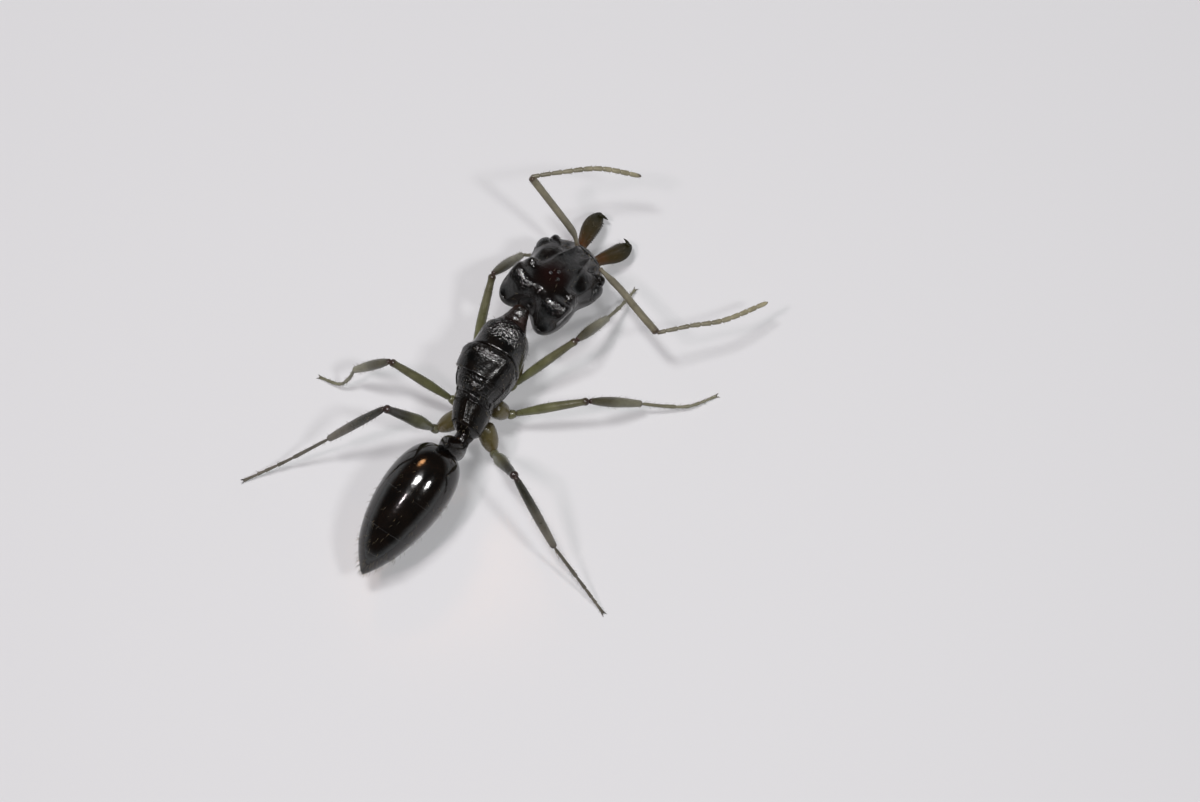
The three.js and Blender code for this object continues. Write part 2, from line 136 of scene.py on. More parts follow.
def sweep(route, u, sides, sideways, upwards=None, up=(0, 0, 1), power=2.0):
    # ovals carried along a route: path(u) + across * sideways(u) * cos a + over * upwards(u) * sin a
    place, _, across, over = pathFrame(route, u, up)
    cosine, sine = oval(around(sides), power)
    wide = sideways(u)[:, None, None] * cosine[None, :, None]
    high = (upwards or sideways)(u)[:, None, None] * sine[None, :, None]
    return place[:, None] + across[:, None] * wide + over[:, None] * high


def egg(centre, radii, rings, sides):
    # ellipsoid with its poles on Y: centre + (rx sin t cos a, -ry cos t, rz sin t sin a)
    t = np.linspace(0, np.pi, rings)[:, None]
    a = around(sides)[None]
    x = radii[0] * np.sin(t) * np.cos(a)
    y = -radii[1] * np.cos(t) * np.ones_like(a)
    z = radii[2] * np.sin(t) * np.sin(a)
    return np.array(centre, float) + np.stack([x, y, z], axis=-1)


def normalsOf(grid):
    # outward direction at each point of closed rings, from the cross product of the two grid directions
    along = np.gradient(grid, axis=0)
    turn = np.roll(grid, -1, axis=1) - np.roll(grid, 1, axis=1)
    normal = unit(np.cross(along, turn))
    outward = grid - grid.mean(axis=1, keepdims=True)
    flip = np.sign(np.sum(normal * outward, axis=(1, 2)))
    flip[flip == 0] = 1
    return normal * np.median(flip)


def raised(grid, height):
    # each point moved along its outward direction by height
    return grid + normalsOf(grid) * height[..., None]


def facingOut(points, faces):
    a, b, c = (points[faces[:, k]] for k in range(3))
    volume = np.sum(a * np.cross(b, c))
    return faces if volume > 0 else faces[:, ::-1]


def halved(quads):
    # two triangles for each four-cornered face
    return np.concatenate([quads[:, [0, 1, 2]], quads[:, [0, 2, 3]]])


def tubeFaces(rings, sides):
    # triangles between neighbouring rings of a tube
    i = (np.arange(rings - 1) * sides)[:, None]
    j = np.arange(sides)[None]
    k = (j + 1) % sides
    return halved(np.stack([i + j, i + k, i + sides + k, i + sides + j], axis=-1).reshape(-1, 4))


def gridBody(grid, along=None, **masks):
    # closed body from rings grid[i, j], each end closed on the middle of its ring; along is a value of each
    # ring, masks are values of each point
    rings, sides = grid.shape[:2]
    share = np.linspace(0, 1, rings) if along is None else np.asarray(along)
    ends = grid[[0, -1]].mean(axis=1)
    keep = np.ptp(grid, axis=1).max(axis=1) > 1e-5
    points = np.concatenate([grid[keep].reshape(-1, 3), ends])
    last = (keep.sum() - 1) * sides
    j = np.arange(sides)
    k = (j + 1) % sides
    first = np.stack([np.full(sides, len(points) - 2), k, j], axis=1)
    final = np.stack([np.full(sides, len(points) - 1), last + j, last + k], axis=1)
    faces = np.concatenate([tubeFaces(keep.sum(), sides), first, final])
    spread = lambda mask: np.r_[mask[keep].ravel(), mask[0, 0], mask[-1, 0]]
    return {"points": points, "faces": facingOut(points, faces),
            "along": np.r_[np.repeat(share[keep], sides), share[0], share[-1]],
            "sculpt": np.ones(len(points)), **{label: spread(mask) for label, mask in masks.items()}}


def shellBody(outer, inner, sculpt):
    # closed thin plate: an outer and an inner sheet of the same grid, joined round the border; along grows
    # from the middle to the border
    rows, columns = outer.shape[:2]
    size = rows * columns
    i, j = np.meshgrid(np.arange(rows - 1), np.arange(columns - 1), indexing="ij")
    a = (i * columns + j).ravel()
    quads = np.stack([a, a + 1, a + columns + 1, a + columns], axis=1)
    rim = np.concatenate([
        np.arange(columns), np.arange(1, rows) * columns + columns - 1,
        size - 2 - np.arange(columns - 1), np.arange(rows - 2, 0, -1) * columns])
    rimNext = np.roll(rim, -1)
    wall = np.stack([rim, rimNext, rimNext + size, rim + size], axis=1)
    faces = halved(np.concatenate([quads, (quads + size)[:, ::-1], wall[:, ::-1]]))
    points = np.concatenate([outer.reshape(-1, 3), inner.reshape(-1, 3)])
    outward = lambda count: np.abs(np.linspace(-1, 1, count))
    along = np.maximum(outward(rows)[:, None], outward(columns)[None])
    return {"points": points, "faces": facingOut(points, faces), "along": np.tile(along.ravel(), 2),
            "sculpt": np.tile(sculpt.ravel(), 2)}


def spikeBody(root, tip, radius, sides=8, bend=(0, 0, 0), rings=8):
    # curved cone from root to tip: radius falls as (1 - u)^0.8, the middle pushed by bend
    root, tip = np.array(root, float), np.array(tip, float)
    middle = (root + tip) / 2 + np.array(bend, float)
    up = (0, 0, 1) if abs(unit(tip - root)[2]) < 0.9 else (0, 1, 0)
    u = np.linspace(0, 1, rings)
    return gridBody(sweep([root, middle, tip], u, sides, lambda s: radius * (1 - s) ** 0.8, up=up))


def painted(body, **values):
    # the same body with one value of an attribute at all its points
    return {**body, **{label: np.full(len(body["points"]), value) for label, value in values.items()}}


def placed(body, matrix, centre):
    return {**body, "points": body["points"] @ np.array(matrix).T + np.array(centre)}


def makePiece(name, bodies, material, replaced=()):
    # one mesh object from closed bodies given in millimetres in the ant's frame
    offsets = np.cumsum([0] + [len(body["points"]) for body in bodies[:-1]])
    points = np.concatenate([body["points"] for body in bodies]) * mm + antOrigin
    faces = np.concatenate([body["faces"] + offset for body, offset in zip(bodies, offsets)])
    mesh = bpy.data.meshes.new(name)
    mesh.vertices.add(len(points))
    mesh.vertices.foreach_set("co", points.astype(np.float32).ravel())
    mesh.loops.add(faces.size)
    mesh.loops.foreach_set("vertex_index", faces.astype(np.int32).ravel())
    mesh.polygons.add(len(faces))
    mesh.polygons.foreach_set("loop_start", np.arange(0, faces.size, 3, dtype=np.int32))
    mesh.polygons.foreach_set("use_smooth", np.ones(len(faces), dtype=bool))
    mesh.update(calc_edges=True)
    if "uv" in bodies[0]:
        patches = np.concatenate([body["uv"] for body in bodies])[faces.ravel()]
        mesh.uv_layers.new(name="OFBake").data.foreach_set("uv", patches.astype(np.float32).ravel())
    for label in ("along", "sculpt", "matt"):
        values = np.concatenate([body.get(label, np.zeros(len(body["points"]))) for body in bodies])
        mesh.attributes.new(label, "FLOAT", "POINT").data.foreach_set("value", values.astype(np.float32))
    piece = bpy.data.objects.new(name, mesh)
    bpy.context.scene.collection.objects.link(piece)
    mesh.materials.append(material)
    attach(piece, "root")
    if replaced:
        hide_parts(*replaced)
    return piece


# shader building blocks

def addNode(tree, kind, inputs=None, **settings):
    made = tree.nodes.new("ShaderNode" + kind)
    for key, value in settings.items():
        setattr(made, key, value)
    for key, value in (inputs or {}).items():
        if isinstance(value, bpy.types.NodeSocket):
            tree.links.new(value, made.inputs[key])
        else:
            made.inputs[key].default_value = value
    return made


def addMath(tree, operation, *values):
    return addNode(tree, "Math", dict(enumerate(values)), operation=operation).outputs[0]


def addVector(tree, operation, *values):
    made = addNode(tree, "VectorMath", dict(enumerate(values)), operation=operation)
    return made.outputs["Value" if operation == "DISTANCE" else "Vector"]


def addRange(tree, value, limits=(0.0, 1.0), to=(0.0, 1.0), easing="LINEAR"):
    # value moved from between the limits to between the two numbers of to
    inputs = {0: value, 1: limits[0], 2: limits[1], 3: to[0], 4: to[1]}
    return addNode(tree, "MapRange", inputs, interpolation_type=easing).outputs[0]


def addMix(tree, share, first, second):
    return addNode(tree, "Mix", {0: share, 6: first, 7: second}, data_type="RGBA").outputs[2]


def addNoise(tree, place, scale, detail=2.0, roughness=0.5):
    inputs = {"Vector": place, "Scale": scale, "Detail": detail, "Roughness": roughness}
    return addNode(tree, "TexNoise", inputs).outputs[0]


def readAttribute(tree, label):
    return addNode(tree, "Attribute", attribute_name=label).outputs["Fac"]


def newGroup(name, inputs, outputs):
    # an input is a number, a place or a colour by the size of its first value
    group = bpy.data.node_groups.new(name, "ShaderNodeTree")
    kinds = {1: "NodeSocketFloat", 3: "NodeSocketVector", 4: "NodeSocketColor"}
    for label, value in inputs.items():
        socket = group.interface.new_socket(name=label, in_out="INPUT", socket_type=kinds[np.size(value)])
        socket.default_value = value
    for label, kind in outputs.items():
        group.interface.new_socket(name=label, in_out="OUTPUT", socket_type=kind)
    return group, group.nodes.new("NodeGroupInput").outputs, group.nodes.new("NodeGroupOutput").inputs


def buildSculpture():
    # relief of the shell in millimetres: soft grain, ribs in rings round a point and ribs fanning out from a
    # point, all of it scaled by the sculpt mask; and a mask of soft clouds
    group, given, out = newGroup(
        "shellSculpture",
        {"Place": (0.0, 0.0, 0.0), "Sculpt": 1.0, "Grain Scale": 9.0, "Grain Height": 0.01,
         "Rib Centre": (0.0, 0.0, 0.0), "Rib Spacing": 0.05, "Rib Height": 0.0,
         "Fan Centre": (0.0, 0.0, 0.0), "Fan Count": 90.0, "Fan Height": 0.0},
        {"Height": "NodeSocketFloat", "Clouds": "NodeSocketFloat"})
    math = lambda *terms: addMath(group, *terms)
    wave = lambda phase, height: math("MULTIPLY", math("SINE", phase), height)
    fullTurn = 6.2832
    soft = addNoise(group, given["Place"], given["Grain Scale"], 3.0, 0.55)
    grain = math("MULTIPLY", math("SUBTRACT", soft, 0.5), given["Grain Height"])
    away = addVector(group, "DISTANCE", given["Place"], given["Rib Centre"])
    ring = math("DIVIDE", math("MULTIPLY_ADD", soft, 0.16, away), given["Rib Spacing"])
    ribs = wave(math("MULTIPLY", ring, fullTurn), given["Rib Height"])
    toFan = addVector(group, "SUBTRACT", given["Place"], given["Fan Centre"])
    parts = addNode(group, "SeparateXYZ", {0: toFan}).outputs
    bearing = math("ADD", math("ARCTAN2", parts[1], parts[0]), math("MULTIPLY", soft, 0.25))
    fan = wave(math("MULTIPLY", bearing, given["Fan Count"]), given["Fan Height"])
    height = math("MULTIPLY", math("ADD", math("ADD", grain, ribs), fan), given["Sculpt"])
    group.links.new(height, out["Height"])
    clouds = addNoise(group, given["Place"], 2.2, 5.0, 0.6)
    group.links.new(addRange(group, clouds, (0.36, 0.66)), out["Clouds"])
    return group


def buildEndTint():
    # colour along a limb: near colour turning into the far one, and the joint colour at both ends, blurred
    # by a little noise
    group, given, out = newGroup(
        "endTint",
        {"Along": 0.5, "Place": (0.0, 0.0, 0.0), "Near": (0.1, 0.1, 0.05, 1), "Far": (0.1, 0.1, 0.05, 1),
         "Ends": (0.05, 0.03, 0.02, 1), "Reach": 0.12},
        {"Color": "NodeSocketColor"})
    edge = 0.56  # distance from the limb's middle, noise added, where the joint colour is full
    away = addMath(group, "ABSOLUTE", addMath(group, "SUBTRACT", given["Along"], 0.5))
    blurred = addMath(group, "MULTIPLY_ADD", addNoise(group, given["Place"], 6.0, 3.0), 0.12, away)
    start = addMath(group, "SUBTRACT", edge, given["Reach"])
    atEnds = addRange(group, blurred, (start, edge), easing="SMOOTHSTEP")
    onward = addRange(group, given["Along"], (0.2, 0.85), easing="SMOOTHSTEP")
    between = addMix(group, onward, given["Near"], given["Far"])
    group.links.new(addMix(group, atEnds, between, given["Ends"]), out["Color"])
    return group


sculpture = buildSculpture()
endTint = buildEndTint()


def startMaterial(name, look):
    # constant settings of the shell, and places in millimetres in the ant's frame
    material = bpy.data.materials.new(name)
    material.use_nodes = True
    tree = material.node_tree
    shader = tree.nodes["Principled BSDF"]
    settings = {"Coat Weight": look["coat"], "Coat Roughness": 0.08, "IOR": look.get("ior", 1.52),
                "Sheen Weight": look.get("sheen", 0.0), "Sheen Roughness": 0.45,
                "Sheen Tint": (0.62, 0.68, 0.62, 1)}
    for label, value in settings.items():
        shader.inputs[label].default_value = value
    coords = addNode(tree, "TexCoord").outputs["Object"]
    place = addVector(tree, "MULTIPLY_ADD", coords, (1 / mm,) * 3, (-antOrigin / mm).tolist())
    return material, tree, shader, place


def addRelief(tree, shader, place, look):
    # sculpture group into a bump; roughness follows the clouds, which are returned, and grows by mattGain
    # times the attribute matt
    mattGain = 0.25
    smoothest, roughest = look["rough"] * 0.8, look["rough"] * 1.3
    inputs = {"Place": place, "Sculpt": readAttribute(tree, "sculpt"), **look["relief"]}
    group = addNode(tree, "Group", inputs, node_tree=sculpture).outputs
    bump = addNode(tree, "Bump", {"Height": group["Height"], "Strength": 1.0, "Distance": mm}).outputs[0]
    gloss = addRange(tree, group["Clouds"], to=(smoothest, roughest))
    rough = addMath(tree, "MULTIPLY_ADD", readAttribute(tree, "matt"), mattGain, gloss)
    for label, value in (("Normal", bump), ("Coat Normal", bump), ("Roughness", rough)):
        tree.links.new(value, shader.inputs[label])
    return group["Clouds"]


def shellMaterial(name, look):
    # glossy shell: a dark colour clouded with a warmer one; where asked, one warm spot fading with distance
    material, tree, shader, place = startMaterial(name, look)
    tone = addMix(tree, addRelief(tree, shader, place, look), (*look["dark"], 1), (*look["warm"], 1))
    if "spot" in look:
        away = addVector(tree, "DISTANCE", place, look["spot"]["centre"])
        near = addRange(tree, away, (look["spot"]["radius"], 0.0), easing="SMOOTHSTEP")
        tone = addMix(tree, near, tone, (*look["spot"]["colour"], 1))
    tree.links.new(tone, shader.inputs["Base Color"])
    return material


def limbMaterial(name, look):
    # satin limb: near and far colours along its length, another at its ends, with soft clouds over all
    material, tree, shader, place = startMaterial(name, look)
    shade = addRange(tree, addRelief(tree, shader, place, look), to=(0.76, 1.2))
    colours = {label: (*look[label.lower()], 1) for label in ("Near", "Far", "Ends")}
    inputs = {"Along": readAttribute(tree, "along"), "Place": place, "Reach": look["reach"], **colours}
    tint = addNode(tree, "Group", inputs, node_tree=endTint).outputs["Color"]
    toned = addNode(tree, "VectorMath", {0: tint, "Scale": shade}, operation="SCALE").outputs[0]
    tree.links.new(toned, shader.inputs["Base Color"])
    return material


black = (0.0028, 0.0027, 0.0026)
shellLooks = {
    "headShell": {
        "dark": black, "warm": (0.006, 0.0035, 0.0027), "rough": 0.17, "coat": 0.12,
        "spot": {"centre": (-0.38, -3.47, 3.03), "radius": 0.75, "colour": (0.012, 0.0042, 0.0034)},
        "relief": {"Grain Scale": 7.0, "Grain Height": 0.03, "Fan Centre": (-0.62, -4.5, 2.5),
                   "Fan Height": 0.0015, "Fan Count": 110.0},
    },
    "trunkShell": {
        "dark": black, "warm": (0.006, 0.0038, 0.0028), "rough": 0.19, "coat": 0.06, "ior": 1.42,
        "relief": {"Grain Scale": 7.0, "Grain Height": 0.045, "Rib Centre": (0.0, -2.6, 2.0),
                   "Rib Spacing": 0.06, "Rib Height": 0.002},
    },
    "pronotumShell": {
        "dark": black, "warm": (0.006, 0.0038, 0.0028), "rough": 0.19, "coat": 0.25,
        "relief": {"Grain Scale": 7.0, "Grain Height": 0.065, "Rib Centre": (0.0, -0.9, 3.6),
                   "Rib Spacing": 0.07, "Rib Height": 0.0025},
    },
    "propodeumShell": {
        "dark": black, "warm": (0.006, 0.0038, 0.0026), "rough": 0.19, "coat": 0.0, "ior": 1.34,
        "relief": {"Grain Scale": 8.0, "Grain Height": 0.016, "Rib Centre": (-0.2, -6.0, 1.0),
                   "Rib Spacing": 0.06, "Rib Height": 0.0008},
    },
    "gasterShell": {
        "dark": (0.003, 0.0025, 0.0022), "warm": (0.0065, 0.004, 0.0027), "rough": 0.125, "coat": 0.4,
        "relief": {"Grain Scale": 5.0, "Grain Height": 0.005},
    },
    "neckShell": {
        "dark": (0.006, 0.004, 0.003), "warm": (0.026, 0.012, 0.009), "rough": 0.26, "coat": 0.35,
        "sheen": 0.03, "relief": {"Grain Scale": 8.0, "Grain Height": 0.04},
    },
    "eyeShell": {
        "dark": (0.0035, 0.0035, 0.004), "warm": (0.008, 0.007, 0.006), "rough": 0.14, "coat": 0.7,
        "relief": {"Grain Scale": 9.0, "Grain Height": 0.002},
    },
}
kneeRed = (0.036, 0.016, 0.011)
feelerBrown = (0.07, 0.046, 0.028)
limbRelief = {"Grain Scale": 10.0, "Grain Height": 0.012}
limbColumns = ("near", "far", "ends", "reach", "rough", "coat", "sheen")
limbLooks = {
    "thighShell": ((0.12, 0.122, 0.054), (0.108, 0.101, 0.053), kneeRed, 0.08, 0.34, 0.2, 0.08),
    "shinShell": ((0.064, 0.057, 0.032), (0.19, 0.18, 0.117), kneeRed, 0.07, 0.36, 0.15, 0.08),
    "hindThighShell": ((0.125, 0.127, 0.064), (0.044, 0.041, 0.036), (0.03, 0.014, 0.012),
                       0.1, 0.34, 0.25, 0.12),
    "hindShinShell": ((0.019, 0.018, 0.011), (0.118, 0.104, 0.08), (0.028, 0.014, 0.011),
                      0.08, 0.34, 0.2, 0.08),
    "feelerShell": ((0.155, 0.139, 0.098), (0.18, 0.16, 0.106), feelerBrown, 0.07, 0.4, 0.15, 0.1),
    "lashShell": ((0.17, 0.152, 0.102), (0.28, 0.25, 0.16), feelerBrown, 0.04, 0.42, 0.1, 0.1),
    "coxaShell": ((0.084, 0.068, 0.025), (0.096, 0.072, 0.025), (0.036, 0.024, 0.011),
                  0.18, 0.3, 0.3, 0.05),
}
skins = {name: shellMaterial(name, look) for name, look in shellLooks.items()}
for name, values in limbLooks.items():
    skins[name] = limbMaterial(name, {**dict(zip(limbColumns, values)), "relief": limbRelief})


def buildJawMaterial():
    # orange-brown at the root turning olive-black towards the tip, in proportion to the attribute along
    look = {"rough": 0.46, "coat": 0.0, "ior": 1.36, "relief": {"Grain Scale": 8.0, "Grain Height": 0.012}}
    material, tree, shader, place = startMaterial("jawShell", look)
    clouds = addRelief(tree, shader, place, look)
    wander = addMath(tree, "MULTIPLY_ADD", clouds, 0.18, readAttribute(tree, "along"))
    shades = addNode(tree, "ValToRGB", {"Fac": wander})
    stops = shades.color_ramp.elements
    stops[0].position, stops[0].color = 0.18, (0.085, 0.028, 0.0055, 1)
    stops[1].position, stops[1].color = 1.0, (0.0125, 0.0113, 0.0016, 1)
    stops.new(0.55).color = (0.031, 0.02, 0.0032, 1)
    tree.links.new(shades.outputs[0], shader.inputs["Base Color"])
    return material


def buildHairMaterial():
    material, tree, shader, place = startMaterial("hair", {"coat": 0.0})
    shader.inputs["Roughness"].default_value = 0.42
    tone = addMix(tree, addNoise(tree, place, 3.0), (0.06, 0.045, 0.024, 1), (0.17, 0.14, 0.08, 1))
    tree.links.new(tone, shader.inputs["Base Color"])
    return material


skins["jawShell"] = buildJawMaterial()
skins["hair"] = buildHairMaterial()
print("materials ready")


# floor, lights and camera

studio = {
    "tiltRight": 10.0,  # degrees the camera leans over the ant's right side
    "tiltBack": 10.0,  # and over her rear
    "upInView": (0.467, -0.884),  # ant-frame direction that points up in the view
    "aim": (0.0, 0.0, 2.4),  # this point of the ant stands left of and above the middle
    "aimShift": (3.229, -0.657),  # millimetres from there to the view's middle, right and up
    "width": 34.29,  # millimetres across the view
    "distance": 130.0,
    "sensor": 36.0,
    "floorSize": 0.9,
    "floorColour": (0.66, 0.655, 0.67, 1),
    "roomColour": (0.93, 0.97, 1.0, 1),
    "roomStrength": (0.78, 0.02),  # at the horizon and overhead
    "roomFade": 0.48,  # height of the direction where the room is as dark as overhead
}


def cameraAxes():
    lean, back = np.sin(np.radians([studio["tiltRight"], studio["tiltBack"]]))
    toCamera = np.array([-lean, back, np.sqrt(1 - lean ** 2 - back ** 2)])
    right = unit(np.cross(np.array([*studio["upInView"], 0.0]), toCamera))
    return right, np.cross(toCamera, right), toCamera


cameraRight, cameraUp, toCamera = cameraAxes()


def addAimed(name, data, place, axes):
    # camera or lamp at a place, its own x, y and z turned to three directions
    made = bpy.data.objects.new(name, data)
    turn = Matrix(np.stack(axes, axis=1).tolist()).to_4x4()
    made.matrix_world = Matrix.Translation(Vector(place.tolist())) @ turn
    bpy.context.scene.collection.objects.link(made)
    return made


def addCamera():
    right, up = studio["aimShift"]
    target = np.array(studio["aim"]) + right * cameraRight + up * cameraUp
    data = bpy.data.cameras.new("camera")
    data.sensor_width = studio["sensor"]
    data.lens = studio["sensor"] * studio["distance"] / studio["width"]
    data.clip_start, data.clip_end = 0.002, 5.0
    place = (target + studio["distance"] * toCamera) * mm + antOrigin
    bpy.context.scene.camera = addAimed("camera", data, place, (cameraRight, cameraUp, toCamera))


def addSoftbox(name, lamp):
    # rectangular lamp aimed at the body: tilt is its angle from the camera's line to the right and upwards,
    # and turn is how far its long side leans from the camera's right
    aim = antOrigin + np.array(lamp.get("aim", (0, 0, 2.0))) * mm
    lean = np.tan(np.radians(lamp["tilt"]))
    direction = unit(toCamera + lean[0] * cameraRight + lean[1] * cameraUp)
    turn = np.radians(lamp["turn"])
    side = np.cos(turn) * cameraRight + np.sin(turn) * cameraUp
    side = unit(side - (side @ direction) * direction)
    data = bpy.data.lights.new(name, "AREA")
    data.shape = "RECTANGLE"
    data.size, data.size_y = (length * mm for length in lamp["size"])
    data.energy = lamp["power"]
    data.color = lamp.get("colour", (1.0, 1.0, 1.0))
    data.spread = np.radians(lamp.get("spread", 180))
    data.use_shadow = lamp.get("shadow", True)
    place = aim + direction * lamp["distance"] * mm
    addAimed(name, data, place, (side, np.cross(direction, side), direction))


def addFloor():
    half = studio["floorSize"] / 2
    corners = [(-half, -half, 0), (half, -half, 0), (half, half, 0), (-half, half, 0)]
    mesh = bpy.data.meshes.new("floor")
    mesh.from_pydata(corners, [], [(0, 1, 2, 3)])
    floor = bpy.data.objects.new("floor", mesh)
    bpy.context.scene.collection.objects.link(floor)
    material = bpy.data.materials.new("floorPaper")
    material.use_nodes = True
    shader = material.node_tree.nodes["Principled BSDF"]
    shader.inputs["Base Color"].default_value = studio["floorColour"]
    shader.inputs["Roughness"].default_value = 0.55
    mesh.materials.append(material)


def addWorld():
    # room that is dark overhead and pale all round: strength falls with the height of the direction
    world = bpy.data.worlds.new("softRoom")
    world.use_nodes = True
    tree = world.node_tree
    sky = tree.nodes["Background"]
    sky.inputs["Color"].default_value = studio["roomColour"]
    direction = addNode(tree, "TexCoord").outputs["Generated"]
    height = addNode(tree, "SeparateXYZ", {0: direction}).outputs[2]
    strength = addRange(tree, height, (0.0, studio["roomFade"]), studio["roomStrength"], "SMOOTHSTEP")
    tree.links.new(strength, sky.inputs["Strength"])
    bpy.context.scene.world = world


mainPane = {"tilt": (-9, 19), "turn": -32, "distance": 160, "size": (31, 14), "power": 0.085}
lamps = {
    "windowPane": mainPane,
    "windowFill": {**mainPane, "distance": 160.5, "power": 0.08, "shadow": False},  # pales the shadows
    "smallPane": {"tilt": (22, 0), "turn": -25, "distance": 160, "size": (20, 13), "power": 0.05},
    "pinkPane": {"tilt": (-20, 5), "turn": 50, "distance": 160, "size": (25, 13), "power": 0.045,
                 "colour": (1.0, 0.9, 0.93)},
    "warmStrip": {"tilt": (-21, 54), "turn": 0, "distance": 10, "size": (5, 2), "power": 0.0000046,
                  "spread": 18, "aim": (0.3, 3.4, 2.9), "colour": (1.0, 0.5, 0.22)},
}
addCamera()
addFloor()
addWorld()
for name, lamp in lamps.items():
    addSoftbox(name, lamp)
bpy.context.scene.view_settings.view_transform = "Standard"
print("camera and lights ready")


# head

head = {
    "centre": (-0.36, -3.38, 2.15),
    "yaw": -13.6,
    "pitch": 24.0,
    "roll": -5.0,
    "rear": -1.68,
    "front": 1.62,
    "halfWidth": 1.09,
    "crown": 0.8,
    "throat": 0.7,
    "notchDepth": 0.52,
    "notchHalfWidth": 0.5,
    "crest": (-1.03, 0.32),  # its place ahead in the middle and its sweep towards the sides
    "crestReach": 0.2,  # how wide the crest's ridge is
    "napeSteps": ((0.0, 0.39, 0.03), (0.06, 0.6, 0.08)),  # start, slope and bend of each step
    "eyePlace": (0.99, -0.61, 0.18),
    "eyeRadii": (0.215, 0.28, 0.245),
    "lensSpacing": 0.03,
}
turnAbout = lambda angles: np.array(Euler(np.radians(angles)).to_matrix())
headTurn = (turnAbout([0, 0, head["yaw"]]) @ turnAbout([head["pitch"], 0, 0])
            @ turnAbout([0, head["roll"], 0]))


def crestLine(left):
    # how far ahead the V-shaped crest of the crown runs: middle + spread * left^2
    middle, spread = head["crest"]
    return middle + spread * left ** 2


def onHead(body):
    return placed(body, headTurn, head["centre"])


def headSurface(u, a):
    # squarish ovals from the nape (u = 0) to the clypeus (u = 1): half width and height are rounded off at
    # both ends, pinched behind the eyes and swollen at the temples, and the nape is pushed forward in the
    # middle; behind the crest the crown falls away in two steps of the form slope * b^2 / (b + bend), b being
    # the distance from where the step starts
    ahead = head["rear"] + (head["front"] - head["rear"]) * u
    rearCap = roundOff(ahead, -0.6, head["rear"], 3)
    frontCap = lambda start, power: roundOff(ahead, start, head["front"], power)
    waist = 0.08 * bell(ahead, -0.12, 0.28) - 0.07 * bell(ahead, 0.5, 0.25)
    across, over = oval(a, np.where(np.sin(a) > 0, 2.35 + 1.1 * bell(ahead, -0.8, 0.5), 2.35))
    halfWidth = (head["halfWidth"] - waist) * rearCap * frontCap(0.5, 2)
    slope = ramp(ahead, -0.2, 1.4)
    crown = (head["crown"] - 0.14 * slope) * rearCap * frontCap(0.4, 1.8)
    throat = (head["throat"] - 0.16 * slope) * rearCap * frontCap(0.5, 2.2)
    left = across * halfWidth
    height = np.where(over > 0, over * crown, over * throat)
    notch = head["notchDepth"] * bell(left, 0, head["notchHalfWidth"]) * ramp(ahead, -0.5, head["rear"])
    fall = 0
    for start, gradient, bend in head["napeSteps"]:
        behind = np.maximum(np.maximum(crestLine(left) - ahead - notch, 0) - start, 0)
        fall = fall + gradient * behind ** 2 / (behind + bend)
    fall = fall * ramp(np.abs(left - 0.1), 0, 0.65)
    drop = 0.08 * ramp(ahead, 0, head["front"]) + fall * np.clip(over, 0, 1)
    return np.stack([left, -(ahead + notch), height - drop], axis=-1)


def headRelief(points, topness):
    # millimetres the surface rises or sinks, as a sum of bells laid out on the head
    left, ahead = points[..., 0], -points[..., 1]
    side = np.abs(left)
    vLine = crestLine(left)
    crestBand = np.maximum(ahead - vLine, 0) + np.maximum(vLine - head["crestReach"] - ahead, 0)
    above = {
        "crest": (0.03 + 0.1 * side ** 2 + 0.14 * side ** 4) * ramp(side, 1.05, 0.85)
        * bell(crestBand, 0, head["crestReach"]),
        "dome": 0.045 * bell(ahead, -0.25, 0.5) * bell(left, 0, 0.45),
        "midFurrow": -0.02 * bell(left, 0, 0.04) * ramp(ahead, -1.05, -0.85) * ramp(ahead, 0.35, -0.1),
        "tubercle": 0.16 * bell(ahead, -0.39, 0.13) * bell(side, 0.76, 0.15),
        "templeRidge": 0.045 * bell(side, 0.78 + 0.12 * (ahead + 0.4), 0.09) * ramp(ahead, -0.4, -0.1)
        * ramp(ahead, 0.5, 0.2),
        "templeFurrow": -0.045 * bell(side, 0.56 - 0.12 * ahead, 0.11) * bell(ahead, 0.15, 0.35),
        "frontalLobe": 0.12 * bell(side, 0.23, 0.11) * bell(ahead, 1.0, 0.22),
        "carina": 0.045 * bell(side, 0.25 + 0.22 * (1.0 - ahead), 0.045) * ramp(ahead, 0.25, 0.6)
        * ramp(ahead, 1.15, 0.95),
        "fossa": -0.13 * bell(side, 0.52, 0.13) * bell(ahead, 0.98, 0.24),
        "ocularRidge": 0.06 * bell(ahead, 0.95 - 0.35 * (0.9 - side), 0.07) * ramp(side, 0.5, 0.75),
        "clypeus": 0.05 * bell(left, 0, 0.24) * bell(ahead, 1.38, 0.16),
        "clypealLine": -0.04 * bell(ahead, 1.24 + 0.25 * side, 0.03) * ramp(side, 0.55, 0.4),
    }
    below = {
        "gularLine": -0.04 * bell(left, 0, 0.03) * ramp(ahead, 1.1, 0.8),
        "chin": -0.06 * bell(left, 0, 0.3) * bell(ahead, 1.3, 0.25),
    }
    return ramp(topness, 0.0, 0.5) * sum(above.values()) + ramp(topness, -0.1, -0.6) * sum(below.values())


def headSculpt(points):
    # rugged along the V crest and round the temple tubercles, smoother on the lobes behind and in front
    left, ahead = points[..., 0], -points[..., 1]
    crest = 1.0 * bell(ahead, crestLine(left) - 0.1, 0.18)
    temple = 1.2 * bell(ahead, -0.42, 0.18) * bell(np.abs(left), 0.74, 0.18)
    return 0.22 + crest + temple + 0.5 * ramp(ahead, 0.1, 0.6)


def awayFrom(points, place, stretch=(1, 1, 1)):
    # distance from a place on either side of the head, each axis scaled by stretch
    mirrored = np.concatenate([np.abs(points[..., :1]), points[..., 1:]], axis=-1)
    return np.linalg.norm((mirrored - np.array(place)) * np.array(stretch), axis=-1)


